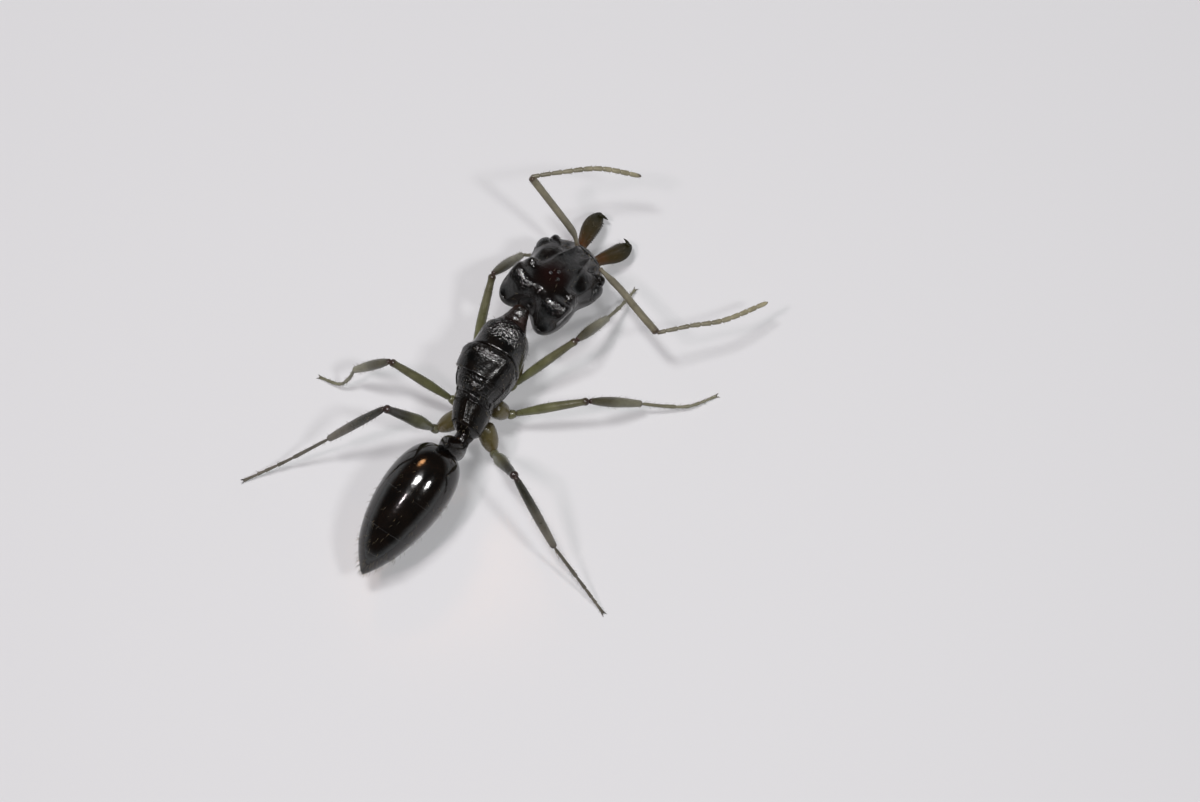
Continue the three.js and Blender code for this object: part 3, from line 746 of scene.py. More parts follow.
def browKnob(points):
    # a blunt knob at each front corner, ahead of the eye, with a dip between the two
    return (0.1 * bell(awayFrom(points, (0.9, -0.97, 0.3)), 0, 0.15)
            - 0.02 * bell(awayFrom(points, (0.97, -0.84, 0.25)), 0, 0.1))


def eyeRim(points):
    # a low welt with a groove inside it round each eye, by the distance from the eye's middle
    away = awayFrom(points, head["eyePlace"], 1 / np.array(head["eyeRadii"]))
    return 0.022 * bell(away, 1.12, 0.08) - 0.03 * bell(away, 0.98, 0.08)


def nuchalRim(points):
    # raised collar round the opening where the neck enters
    away = awayFrom(points, (0, 1.02, 0.12), (1, 0.7, 1.1))
    return 0.035 * bell(away, 0.36, 0.04) - 0.05 * bell(away, 0.1, 0.2)


def buildHead():
    rings, sides = 250, 300
    u = easedSteps(rings)[:, None] * np.ones((1, sides))
    a = around(sides)[None] * np.ones((rings, 1))
    grid = headSurface(u, a)
    topness = normalsOf(grid)[..., 2]
    sculpt = headSculpt(grid)
    grid = raised(grid, headRelief(grid, topness))
    grid = raised(grid, eyeRim(grid) + nuchalRim(grid) + browKnob(grid))
    skull = gridBody(grid, sculpt=sculpt, matt=ramp(topness, 0.55, 0.15))
    makePiece("head_shell", [onHead(skull)], skins["headShell"], ["head_capsule"])
    return grid


def eyeGrid(side):
    # ellipsoid whose skin carries a honeycomb of lenses: three cosine waves 60 degrees apart
    grid = egg((0, 0, 0), head["eyeRadii"], 220, 250)
    y, z = grid[..., 1] / head["lensSpacing"], grid[..., 2] / head["lensSpacing"]
    waves = sum(np.cos(2 * np.pi * (y * np.cos(t) + z * np.sin(t))) for t in np.radians([0, 60, 120]))
    outer = ramp(grid[..., 0] / head["eyeRadii"][0], 0.0, 0.35)
    grid = raised(grid, 0.0018 * waves * outer)
    return (grid + np.array(head["eyePlace"])) * np.array([side, 1, 1])


def buildEyes():
    for name, side in (("eye_left", 1), ("eye_right", -1)):
        makePiece(name + "_lens", [onHead(gridBody(eyeGrid(side)))], skins["eyeShell"], [name])
    ocelli = [egg(place, (0.055, 0.055, 0.035), 20, 24)
              for place in ((0.0, 0.14, 0.855), (0.14, 0.34, 0.855), (-0.14, 0.34, 0.855))]
    makePiece("ocelli", [onHead(gridBody(grid)) for grid in ocelli], skins["eyeShell"])


headGrid = buildHead()
buildEyes()
print("head and eyes ready")

# jaws and mouth

jaw = {
    "left": [(0.235, -1.3, -0.2), (0.39, -1.87, -0.28), (0.6, -2.49, -0.38), (0.73, -3.18, -0.48)],
    "right": [(-0.235, -1.3, -0.2), (-0.34, -1.85, -0.28), (-0.52, -2.45, -0.38), (-0.56, -3.07, -0.48)],
    "halfWidth": 0.255,
    "halfDepth": 0.16,
    "denticles": 11,
    "teeth": ((0.26, 0.09), (0.3, 0.0), (0.24, -0.09)),  # length of each tooth at the tip and its lift
}


def jawWidth(u):
    return (jaw["halfWidth"] * (0.5 + 0.5 * bell(u, 0.68, 0.34)) * roundOff(u, 0.74, 1, 2.0)
            * roundOff(u, 0.1, 0, 2))


def jawDepth(u):
    return (jaw["halfDepth"] * (0.8 + 0.2 * bell(u, 0.5, 0.3)) * roundOff(u, 0.62, 1, 1.9)
            * roundOff(u, 0.1, 0, 2))


def jawSkin(side, u):
    return sweep(jaw[side], u, 72, jawWidth, jawDepth, power=2.2)


def jawBodies(name, side):
    # a flat blade carried along its route with a groove on its upper face, teeth at the tip and a row of
    # denticles along the inner edge
    u = easedSteps(130)
    grid = jawSkin(name, u)
    a = around(72)[None]
    groove = (-0.028 * bell(np.sin(a), 0.9, 0.25) * bell(np.cos(a), -0.25 * side, 0.3)
              * ramp(u, 0.05, 0.3)[:, None])
    welt = 0.012 * bell(np.cos(a), -side, 0.12)
    grid = raised(grid, (groove + welt) * ramp(u, 0.99, 0.85)[:, None])
    inward = np.array([-side, 0, 0])
    spikes = []
    place, forward, _, over = pathFrame(jaw[name], np.array([0.9, 0.94, 0.98]), (0, 0, 1))
    for k, (length, lift) in enumerate(jaw["teeth"]):
        root = place[k] + lift * over[k]
        tip = root + length * inward + 0.12 * forward[k] - 0.03 * over[k]
        spikes.append(spikeBody(root, tip, 0.075, 12, 0.03 * forward[k]))
    edge = np.linspace(0.38, 0.84, jaw["denticles"])
    place, forward, across, _ = pathFrame(jaw[name], edge, (0, 0, 1))
    inner = place - across * (jawWidth(edge) * 0.93)[:, None] * np.sign(across[:, :1] * side)
    for root, ahead in zip(inner, forward):
        spikes.append(spikeBody(root, root + 0.075 * inward + 0.03 * ahead, 0.035, 8))
    return [gridBody(grid, u), *(painted(spike, along=0.95) for spike in spikes)]


def buildJaws():
    for name, side in (("left", 1), ("right", -1)):
        bodies = [onHead(body) for body in jawBodies(name, side)]
        makePiece(f"mandible_{name}_blade", bodies, skins["jawShell"], [f"mandible_{name}"])
    labrum = egg((0, -1.44, -0.36), (0.22, 0.2, 0.1), 40, 48)
    chin = egg((0, -1.24, -0.5), (0.17, 0.34, 0.12), 40, 48)
    cheeks = [egg((side * 0.15, -1.34, -0.46), (0.09, 0.3, 0.11), 36, 36) for side in (1, -1)]
    beads = lambda s: 0.028 * (0.7 + 0.3 * np.abs(np.sin(np.pi * 4 * s))) * roundOff(s, 0.9, 1, 2)
    palps = [sweep([(side * 0.2, -1.52, -0.5), (side * 0.3, -1.66, -0.62), (side * 0.28, -1.8, -0.68)],
                   easedSteps(48), 12, beads) for side in (1, -1)]
    mouth = [onHead(gridBody(grid)) for grid in (labrum, chin, *cheeks, *palps)]
    makePiece("mouth_plates", mouth, skins["jawShell"], ["mouthparts"])


buildJaws()
print("jaws ready")

# feelers

feelers = {
    "left": {
        "scape": [(-0.415, -4.7, 1.98), (-0.216, -4.915, 2.2), (-0.02, -5.02, 2.42), (0.51, -5.22, 2.95),
                  (1.37, -5.53, 3.85)],
        "lash": [(1.37, -5.53, 3.85), (0.71, -6.04, 3.75), (-0.19, -6.73, 3.4), (-1.24, -7.2, 2.8)],
    },
    "right": {
        "scape": [(-1.29, -4.40, 2.0), (-2.13, -4.09, 2.2), (-2.81, -3.76, 2.4), (-3.77, -3.32, 2.65)],
        "lash": [(-3.77, -3.32, 2.65), (-4.5, -3.96, 2.5), (-5.25, -4.62, 2.2), (-6.03, -5.76, 1.66)],
    },
}
lashJoints = np.cumsum([0.075, 0.1, 0.098, 0.094, 0.09, 0.088, 0.086, 0.084, 0.082, 0.082, 0.121])


def scapeRadius(u):
    # a ball at the root, a thin neck, then a shaft that thickens slowly to a rounded end
    ball = 0.075 * bell(u, 0.018, 0.016)
    shaft = 0.062 + 0.042 * ramp(u, 0.06, 0.22) + 0.006 * u
    shaft = shaft * roundOff(u, 0.975, 1, 2) * ramp(u, -0.01, 0.03)
    return np.maximum(ball, shaft) * roundOff(u, 0.012, 0, 2)


def jointAt(u, joints):
    # which joint of a limb u falls in, and how far along that joint
    edges = np.r_[0, joints / joints[-1]]
    k = np.clip(np.searchsorted(edges, u, side="right") - 1, 0, len(edges) - 2)
    return k, (u - edges[k]) / (edges[k + 1] - edges[k])


def lashRadius(u):
    # eleven joints, each widening towards its far end and pinched where the next begins
    k, share = jointAt(u, lashJoints)
    pinch = 1 - 0.34 * bell(share, 0, 0.1) - 0.28 * bell(share, 1, 0.06)
    size = 0.066 + 0.012 * ramp(u, 0.1, 0.6) - 0.01 * ramp(u, 0.85, 1)
    return (size * (0.86 + 0.14 * share) * np.where((k == 0) & (share < 0.2), 1, pinch)
            * roundEnds(u, 0.01, 0.94))


def buildFeelers():
    grids = {}
    u = np.unique(np.r_[easedSteps(140), np.linspace(0, 0.1, 40)])
    v = np.unique(np.r_[np.linspace(0, 1, 420), easedSteps(60)])
    for side, parts in feelers.items():
        scape = sweep(parts["scape"], u, 28, scapeRadius)
        makePiece(f"scape_shaft_{side}", [gridBody(scape, u)], skins["feelerShell"],
                  [f"scape_{side}"])
        lash = sweep(parts["lash"], v, 24, lashRadius)
        makePiece(f"lash_{side}", [gridBody(lash, v)], skins["lashShell"],
                  [f"funiculus_{side}"])
        grids[side] = (scape, lash)
    return grids


feelerGrids = buildFeelers()
print("feelers ready")

# trunk

trunk = {
    "halfWidth": [(-2.2, 0.24), (-1.9, 0.3), (-1.6, 0.5), (-1.42, 0.65), (-1.25, 0.73), (-0.8, 0.77),
                  (-0.2, 0.86), (0.3, 0.78), (0.7, 0.62), (1.2, 0.54), (1.6, 0.44), (1.8, 0.3)],
    "bend": [(-2.2, 0), (-1.55, 0.07), (-1.0, 0.075), (-0.3, 0.075), (0.4, 0.075), (1.0, -0.02),
             (1.6, -0.155), (1.8, -0.17)],
    "top": [(-2.2, 2.9), (-1.78, 2.92), (-1.64, 3.03), (-1.52, 3.062), (-1.38, 3.055), (-1.22, 3.04),
            (-1.05, 3.06), (-0.75, 3.15), (-0.4, 3.22), (-0.1, 3.25), (0.2, 3.275), (0.46, 3.3),
            (0.62, 3.24), (0.8, 3.0), (1.05, 2.96), (1.3, 2.93), (1.55, 2.88), (1.68, 2.68), (1.8, 2.3)],
    "bottom": [(-2.2, 2.52), (-1.5, 2.0), (-1.1, 1.66), (-0.5, 1.54), (0.4, 1.52), (1.1, 1.6), (1.8, 1.92)],
    "squareness": 2.3,
    "middle": 0.46,  # where the widest level stands between bottom and top
    "roundFrom": 1.52,  # the rear end is rounded off from here
    "rear": 1.8,
    "coreDepth": 0.05,
    "rearTilt": 0.08,  # how much higher her left side stands at the rear
}
trunkWidth, trunkBend, trunkTop, trunkBottom = (
    profile(trunk[key]) for key in ("halfWidth", "bend", "top", "bottom"))


def trunkPoint(y, a):
    # squarish oval across the trunk at y: angle 0 is her left flank and a quarter turn is the back
    broad = 0.9 * bell(y, -1.4, 0.3) + 0.8 * bell(y, -0.45, 0.3) - 0.4 * bell(y, 1.3, 0.4)
    across, over = oval(a, trunk["squareness"] + broad * np.clip(np.sin(a), 0, 1))
    end = roundOff(y, trunk["roundFrom"], trunk["rear"] + 0.002, 2.2)
    middle = trunkBottom(y) + trunk["middle"] * (trunkTop(y) - trunkBottom(y))
    reach = np.where(over > 0, trunkTop(y) - middle, middle - trunkBottom(y))
    tilt = trunk["rearTilt"] * ramp(y, 0.8, 1.1) * across * np.clip(over, 0, 1)
    height = middle + (over * reach + tilt) * end
    return np.stack([trunkBend(y) + across * trunkWidth(y) * end, y, height], axis=-1)


def trunkNormal(y, a):
    step = 1e-3
    along = trunkPoint(y + step, a) - trunkPoint(y - step, a)
    turn = trunkPoint(y, a + step) - trunkPoint(y, a - step)
    return unit(np.cross(turn, along)) * -1


def plate(start, end, low, high, rows, columns, lift=0.0, rim=0.07, thick=0.09, relief=None, sculpt=None):
    # patch of the trunk between two curves start(a) and end(a), its border rolled in over the width rim:
    # height = lift - thick * (1 - sqrt(1 - (1 - e/rim)^2)), with e the distance to the nearest edge
    s = np.linspace(0, 1, rows)[:, None]
    t = np.linspace(0, 1, columns)[None]
    a = np.radians(low + (high - low) * t) * np.ones((rows, 1))
    first, last = start(a), end(a)
    y = first + (last - first) * s
    point, normal = trunkPoint(y, a), trunkNormal(y, a)
    lengthEdge = np.minimum(s, 1 - s) * (last - first)
    sideEdge = np.minimum(t, 1 - t) * np.radians(high - low) * 0.8
    edge = np.clip(np.minimum(lengthEdge, sideEdge) / rim, 0, 1)
    drop = thick * (1 - np.sqrt(1 - (1 - edge) ** 2)) * 0.75
    extra = 0 if relief is None else relief(y, a) * ramp(edge, 0, 1)
    outer = point + normal * (lift - drop + extra)[..., None]
    mask = np.ones_like(y) if sculpt is None else sculpt(y, a)
    return shellBody(outer, point - normal * thick, mask), outer


def constant(value):
    return lambda a: value + 0 * a


def sideways(a):
    # 0 on the back, 1 on the flanks
    return 1 - np.clip(np.sin(a), 0, 1)


def pronotumRelief(y, a):
    # a shallow groove behind the collar
    return -0.02 * bell(y, -1.6, 0.06)


def pronotumSculpt(y, a):
    # coarse in front, finer towards the rear
    return 0.25 + 0.75 * ramp(y, -0.95, -1.15)


def scutumFront(a):
    return -0.73 + 0.34 * sideways(a) ** 1.3


def scutumRelief(y, a):
    # a brow along the front edge, two short slanting furrows, a faint mid line and a slight lean to her left
    x = np.cos(a)
    brow = 0.042 * bell(y - scutumFront(a), 0.14, 0.12)
    notauli = -0.012 * bell(np.abs(x), 0.36 - 0.3 * (y + 0.7), 0.035) * ramp(y, -0.25, -0.4)
    mid = -0.007 * bell(x, 0, 0.025) * ramp(y, -0.1, -0.35)
    return brow + notauli + mid + 0.05 * x


def scutumSculpt(y, a):
    # coarse along its front edge, nearly smooth behind
    return 0.3 + 0.7 * ramp(y - scutumFront(a), 0.45, 0.25)


def scutellumRelief(y, a):
    return 0.03 * bell(y, 0.48, 0.15) * bell(np.cos(a), 0, 0.5)


def propodeumRelief(y, a):
    # faint cross ribs that fade towards the flanks, and a narrow ridge along the back
    ribs = 0.0018 * np.sin(2 * np.pi * y / 0.07 + 0.8 * np.sin(3 * a)) * bell(np.cos(a), 0, 0.6)
    return ribs + 0.014 * bell(np.cos(a), 0.1, 0.09) * ramp(y, 1.7, 1.5)


def flankRelief(y, a):
    return 0.003 * np.sin(2 * np.pi * (y + 0.25 * a) / 0.08)


# plates of one flank: front and rear edge, lowest and highest angle, rows, columns, lift, rim and relief
flankPlates = ((-0.36, 0.62, -8, 18, 50, 30, -0.018, 0.05, flankRelief),
               (-0.66, 0.66, -62, -10, 60, 50, -0.012, 0.06, flankRelief),
               (0.70, 1.5, -56, -14, 50, 40, -0.01, 0.07, flankRelief),
               (0.65, 0.86, -10, 24, 30, 30, -0.022, 0.04, None))


def buildTrunk():
    grids = {}
    rows, columns = 160, 120
    y = np.linspace(-1.6, 1.79, rows)[:, None] * np.ones((1, columns))
    a = around(columns)[None] * np.ones((rows, 1))
    core = trunkPoint(y, a) - trunkNormal(y, a) * trunk["coreDepth"]
    makePiece("trunk_core", [gridBody(core)], skins["trunkShell"], ["mesopleura"])

    front, grids["pronotum"] = plate(
        lambda a: -1.7 + 0.16 * sideways(a), lambda a: -0.76 + 0.34 * sideways(a) ** 1.3, -42, 222, 90, 150,
        lift=0.012, rim=0.05, thick=0.06, relief=pronotumRelief, sculpt=pronotumSculpt)
    makePiece("pronotum_plate", [front], skins["pronotumShell"], ["pronotum"])

    shield, grids["scutum"] = plate(
        scutumFront, lambda a: 0.19 - 0.08 * sideways(a), 20, 160, 90, 110,
        lift=0.02, rim=0.05, thick=0.07, relief=scutumRelief, sculpt=scutumSculpt)
    makePiece("scutum_plate", [shield], skins["trunkShell"], ["mesoscutum"])

    bump, grids["scutellum"] = plate(
        lambda a: 0.30 + 0.04 * sideways(a), lambda a: 0.72 - 0.1 * sideways(a), 42, 138, 60, 70, lift=0.01,
        rim=0.09, relief=scutellumRelief)
    bridge = plate(constant(0.20), constant(0.29), 24, 156, 20, 80, lift=-0.03, rim=0.03, thick=0.05)[0]
    band = plate(constant(0.755), constant(0.86), 26, 154, 24, 80, lift=-0.01, rim=0.035, thick=0.07)[0]
    makePiece("scutellum_plate", [bump, bridge, band], skins["trunkShell"], ["scutellum"])

    rear, grids["propodeum"] = plate(
        constant(0.875), constant(1.795), -12, 192, 110, 150, lift=0.008, relief=propodeumRelief,
        sculpt=lambda y, a: 1 - 0.4 * bell(np.cos(a), 0, 0.15))
    makePiece("propodeum_plate", [rear], skins["propodeumShell"], ["propodeum"])

    flanks = []
    for mirror in (False, True):
        for ahead, behind, low, high, rows, columns, lift, rim, relief in flankPlates:
            low, high = (180 - high, 180 - low) if mirror else (low, high)
            flanks.append(plate(constant(ahead), constant(behind), low, high, rows, columns, lift, rim,
                                relief=relief)[0])
    makePiece("flank_plates", flanks, skins["trunkShell"])
    return grids


def buildNeck():
    # the neck widens from the nape to the pronotum in soft rings
    y = np.linspace(-2.3, -1.42, 70)
    inside = np.maximum(y, -2.2)
    cap = roundOff(y, -2.2, -2.31, 2)
    rings = 1 + 0.012 * np.sin(2 * np.pi * y / 0.16) * ramp(y, -1.6, -1.8)
    width = np.interp(y, [-2.3, -2.1, -1.9, -1.7, -1.42], [0.2, 0.27, 0.34, 0.44, 0.6]) * cap * rings
    low, high = trunkBottom(inside), trunkTop(inside) - 0.05
    tall = (high - low) / 2 * np.interp(y, [-2.3, -2.1], [0.7, 1.0]) * cap * rings
    cosine, sine = oval(around(72), 2.1)
    column = lambda values: values[:, None]
    grid = np.stack([column(trunkBend(inside)) + column(width) * cosine, column(y) * np.ones_like(cosine),
                     column((high + low) / 2) + column(tall) * sine], axis=-1)
    makePiece("neck_collar", [gridBody(grid)], skins["neckShell"], ["neck"])


wingScars = {
    "angles": (19, 161),  # round the trunk, in degrees
    "sizes": {-0.2: 0.1, 0.14: 0.075},  # place along the trunk and half length of each
    "sunk": 0.04,
}


def buildWingScars():
    # on each side: a small oval plate with the torn stub of the fore wing and a smaller one behind it
    bodies = []
    for a in np.radians(wingScars["angles"]):
        for y, size in wingScars["sizes"].items():
            spot = np.array(y), np.array(a)
            centre = trunkPoint(*spot) - wingScars["sunk"] * trunkNormal(*spot)
            stub = centre + np.array([np.sign(np.cos(a)) * 0.01, 0.02, 0.008])
            bodies.append(gridBody(egg(centre, (size * 0.35, size, size * 0.5), 24, 28)))
            bodies.append(gridBody(egg(stub, (size * 0.28, size * 0.5, size * 0.25), 18, 20)))
    makePiece("wing_scars", bodies, skins["neckShell"])


trunkGrids = buildTrunk()
buildNeck()
buildWingScars()
print("trunk ready")

# petiole and gaster

petiole = {
    "foot": (-0.02, 2.16, 1.7),
    "apex": (0.02, 2.34, 3.0),
    "halfWidth": 0.36,
    "halfLength": 0.31,
    "stalk": [(-0.2, 1.62, 2.14), (-0.12, 2.16, 2.1)],
    "stalkRadius": 0.27,
    "link": [(0.02, 2.25, 2.08), (0.13, 2.5, 2.1)],
    "linkRadius": 0.2,
}


def buildPetiole():
    # upright scale: ovals from its foot to its apex, narrowed to a short spine; plus its stalk, a keel and
    # the link into the gaster
    narrowed = lambda s, whole: roundOff(s, 0.14, 0, 2) * (whole - 0.12 * ramp(s, 0.62, 0.8))
    wide = lambda s: petiole["halfWidth"] * narrowed(s, 0.94) * (
        roundOff(s, 0.3, 0.86, 1.7) + 0.12 * roundOff(s, 0.78, 1, 1.4))
    deep = lambda s: petiole["halfLength"] * narrowed(s, 0.96) * (
        roundOff(s, 0.3, 0.88, 1.6) + 0.14 * roundOff(s, 0.8, 1, 1.4))
    waist = lambda s: petiole["stalkRadius"] * (1 - 0.1 * bell(s, 0.45, 0.2)) * roundEnds(s, 0.08, 0.92)
    knot = lambda s: petiole["linkRadius"] * roundEnds(s, 0.1, 0.9)
    node = sweep([petiole["foot"], petiole["apex"]], easedSteps(110), 96, wide, deep, up=(0, 1, 0), power=2.4)
    stalk = sweep(petiole["stalk"], easedSteps(40), 48, waist)
    keel = egg((-0.1, 2.02, 1.78), (0.06, 0.16, 0.16), 30, 30)
    link = sweep(petiole["link"], easedSteps(30), 40, knot)
    bodies = [painted(gridBody(grid), sculpt=0.3) for grid in (node, stalk, keel, link)]
    makePiece("petiole_scale", bodies, skins["trunkShell"], ["petiole"])
    return node


gaster = {
    "route": [(0.12, 2.34, 2.12), (0.28, 3.4, 2.04), (0.47, 4.6, 1.9), (0.6, 5.6, 1.7), (0.68, 6.52, 1.42)],
    "halfWidth": 0.99,
    "fullest": 0.345,
    "lip": 0.006,
    "lipFade": 0.05,  # share of the route over which the lip swells
    "lipDrop": 0.035,
    "lipRoll": 0.003,
    "tuck": 0.03,  # share of the route by which a ring reaches under the one before
    "flankSeams": (200, 340),  # degrees round the gaster
    "depthRatio": 0.93,
    "seams": (0.0, 0.4, 0.66, 0.83, 0.93, 1.0),
}


def gasterRadius(u):
    # u to the power f times (1 - u) to the power 1 - f, with the last eighth drawn in to a point
    full = gaster["fullest"]
    shape = lambda s: np.clip(s, 0, 1) ** full * np.clip(1 - s, 0, 1) ** (1 - full)
    return gaster["halfWidth"] * shape(u) / shape(full) * (1 - 0.2 * bell(u, 1, 0.12))


def gasterGrid(u, size, sides=150):
    place, _, across, over = pathFrame(gaster["route"], np.clip(u, 0, 1), (0, 0, 1))
    a = around(sides)
    radius = (gasterRadius(u) * size)[:, None, None]
    return (place[:, None] + across[:, None] * radius * np.cos(a)[None, :, None]
            + over[:, None] * radius * gaster["depthRatio"] * np.sin(a)[None, :, None])


def buildGaster():
    # each ring tucks its front under the ring before and ends in a rounded lip over the ring behind;
    # a fine line on each flank parts the back plate from the belly plate
    grids = []
    lip, fade = gaster["lip"], gaster["lipFade"]
    for k, (first, last) in enumerate(zip(gaster["seams"], gaster["seams"][1:])):
        final = last == gaster["seams"][-1]
        share = np.linspace(0, 1, 110)
        stations = first + (last - first) * (share ** 1.6 if k == 0 else share)
        sizes = np.ones(110) if final else 1 + lip * ramp(stations, last - fade, last)
        if k > 0:
            sizes = sizes * (1 - lip * ramp(stations, first + fade, first))
            sizes = np.r_[np.linspace(0.95, 0.985, 8), sizes]
            stations = np.r_[np.linspace(first - gaster["tuck"], first - 0.001, 8), stations]
        if not final:
            turn = np.linspace(0, np.pi / 2, 10)[1:]
            sizes = np.r_[sizes, 1 + lip - gaster["lipDrop"] * (1 - np.cos(turn))]
            stations = np.r_[stations, last + gaster["lipRoll"] * np.sin(2 * turn)]
        grid = gasterGrid(stations, sizes)
        a = around(grid.shape[1])[None]
        seam = -0.012 * sum(bell(a, angle, 0.03) for angle in np.radians(gaster["flankSeams"]))
        present = ramp(stations, 0.05, 0.12) * ramp(stations, 0.985, 0.95)
        grids.append(raised(grid, seam * present[:, None]))
        bodies = [gridBody(grids[-1], np.clip((stations - first) / (last - first), 0, 1))]
        if final:
            root, tip = pathAt(gaster["route"], [0.985, 1.0])
            bodies.append(spikeBody(root, tip + np.array([0.0, 0.02, -0.01]), 0.05, 12))
        makePiece(f"gaster_ring_{k + 1}", bodies, skins["gasterShell"],
                  [f"gaster_segment_{k + 1}"] if k < 4 else [])
    return grids


petioleGrid = buildPetiole()
gasterGrids = buildGaster()
print("petiole and gaster ready")

# legs

# centres of the coxa's root, hip, knee, ankle and the points of the foot
legs = {
    "left_fore": [(0.3, -1.08, 1.86), (0.87, -0.48, 1.2), (1.31, -2.8, 2.4), (1.12, -3.95, 1.0),
                  (0.72, -4.3, 0.4), (0.1, -4.7, 0.06)],
    "right_fore": [(-0.34, -1.06, 1.86), (-0.46, -0.23, 1.18), (-1.79, -2.14, 2.46), (-2.03, -3.37, 1.15),
                   (-2.1, -4.0, 0.55), (-2.14, -4.68, 0.06)],
    "left_mid": [(0.34, 0.4, 1.74), (0.71, 0.81, 1.15), (2.65, 0.88, 2.75), (3.75, 1.35, 1.4),
                 (3.92, 1.58, 0.8), (4.2, 1.76, 0.36), (4.86, 1.79, 0.06)],
    "right_mid": [(-0.4, 0.56, 1.74), (-0.8, 0.48, 1.15), (-2.85, -0.8, 1.95), (-4.03, -1.62, 0.8),
                  (-4.6, -1.92, 0.46), (-5.2, -2.29, 0.22), (-5.74, -2.94, 0.06)],
    "left_hind": [(0.22, 1.14, 1.76), (0.8, 1.8, 1.25), (1.98, 2.27, 3.42), (3.39, 3.53, 1.65),
                  (4.4, 4.49, 0.6), (5.38, 5.52, 0.06)],
    "right_hind": [(-0.42, 1.1, 1.76), (-0.98, 1.67, 1.25), (-2.25, 2.32, 3.33), (-3.93, 3.39, 1.7),
                   (-5.0, 3.85, 0.68), (-5.79, 4.21, 0.06)],
}
limbShape = {
    "coxa": [(0, 0.22), (0.3, 0.28), (0.65, 0.25), (0.9, 0.15), (1, 0.1)],
    "trochanter": [(0, 0.1), (0.45, 0.14), (1, 0.09)],
    "femur": [(0, 0.085), (0.12, 0.105), (0.4, 0.14), (0.75, 0.12), (0.9, 0.102), (0.96, 0.118), (1, 0.118)],
    "hindFemur": [(0, 0.09), (0.14, 0.15), (0.32, 0.195), (0.55, 0.165), (0.8, 0.13), (0.9, 0.116),
                  (0.96, 0.13), (1, 0.13)],
    "tibia": [(0, 0.09), (0.035, 0.08), (0.09, 0.1), (0.25, 0.135), (0.5, 0.15), (0.78, 0.125), (0.97, 0.1),
              (1, 0.1)],
    "hindTibia": [(0, 0.095), (0.03, 0.082), (0.08, 0.1), (0.25, 0.125), (0.5, 0.138), (0.8, 0.122),
                  (0.97, 0.1), (1, 0.1)],
}
footJoints = np.cumsum([0.46, 0.18, 0.13, 0.08, 0.15])
legFit = {
    "overlap": 0.06,  # by which a part reaches into the one before
    "trochanterLength": 0.3,
    "femurStart": 0.22,  # from the hip
    "thighBow": 0.05,
    "shinBow": 0.03,
    "spurLength": 0.3,
}


def limbRadius(name, cap):
    shape = profile(limbShape[name])
    return lambda u: shape(u) * roundEnds(u, cap, 1 - cap)


def footRadius(u):
    # five joints, each a slim cone flared at its far end
    _, share = jointAt(u, footJoints)
    size = (0.062 - 0.014 * u) * (0.78 + 0.34 * share ** 2)
    pinch = 1 - 0.3 * bell(share, 0, 0.09) - 0.3 * bell(share, 1, 0.035)
    return size * pinch * roundEnds(u, 0.01, 0.985)


def clawBodies(route):
    # two hooked claws and the soft pad between them, at the end of the foot
    place, forward, across, _ = (rows[0] for rows in pathFrame(route, np.array([0.985]), (0, 0, 1)))
    flat = unit(forward * np.array([1, 1, 0.15]))
    bodies = []
    for side in (1, -1):
        tip = place + 0.13 * flat + side * 0.07 * across
        tip[2] = 0.004
        bodies.append(spikeBody(place + side * 0.02 * across, tip, 0.02, 8, (0, 0, 0.035), 10))
    bodies.append(gridBody(egg(place + 0.03 * flat, (0.022, 0.022, 0.018), 12, 12)))
    return [painted(body, along=0.97, sculpt=0.0) for body in bodies]


def buildLeg(name, points):
    hind = name.endswith("hind")
    thighSkin, shinSkin = (skins[part] for part in (("hindThighShell", "hindShinShell") if hind
                                                    else ("thighShell", "shinShell")))
    coxaRoot, hip, knee, ankle = (np.array(point) for point in points[:4])
    thighLine, shinLine = unit(knee - hip), unit(ankle - knee)

    def addPart(part, bodies, skin, replaced):
        makePiece(f"{name}_{part}", bodies, skin, [f"{name}_{replaced}"])

    u = easedSteps(70)
    coxa = sweep([coxaRoot, hip], u, 40, limbRadius("coxa", 0.14), power=2.1)
    addPart("coxa_skin", [gridBody(coxa, u)], skins["coxaShell"], "coxa")

    joint = [hip - legFit["overlap"] * thighLine, hip + legFit["trochanterLength"] * thighLine]
    trochanter = sweep(joint, easedSteps(40), 32, limbRadius("trochanter", 0.25))
    femurStart = hip + legFit["femurStart"] * thighLine
    bow = legFit["thighBow"] * np.cross(thighLine, unit(np.cross(thighLine, [0, 0, 1.0])))
    u = easedSteps(110)
    femur = sweep([femurStart, (femurStart + knee) / 2 - bow, knee], u, 40,
                  limbRadius("hindFemur" if hind else "femur", 0.05))
    addPart("thigh", [gridBody(trochanter, np.full(40, 0.06)), gridBody(femur, u)], thighSkin, "femur")

    tibia = sweep([knee, (knee + ankle) / 2 + np.array([0, 0, legFit["shinBow"]]), ankle], u, 40,
                  limbRadius("hindTibia" if hind else "tibia", 0.035))
    spurRoot = ankle - legFit["overlap"] * shinLine - np.array([0, 0, 0.05])
    spurTip = spurRoot + legFit["spurLength"] * shinLine + np.array([0.03, 0.04, -0.1])
    spur = spikeBody(spurRoot, spurTip, 0.02, 8)
    addPart("shin", [gridBody(tibia, u), painted(spur, along=0.9)], shinSkin, "tibia")

    v = np.linspace(0, 1, 260)
    tarsus = sweep(points[3:], v, 22, footRadius)
    tarsus[..., 2] = np.maximum(tarsus[..., 2], 0.001)
    addPart("foot", [gridBody(tarsus, 0.55 + 0.3 * v), *clawBodies(points[3:])], shinSkin, "tarsus")
    return {"coxa": coxa, "femur": femur, "tibia": tibia, "tarsus": tarsus}


legGrids = {name: buildLeg(name, points) for name, points in legs.items()}
print("legs ready")

# hairs

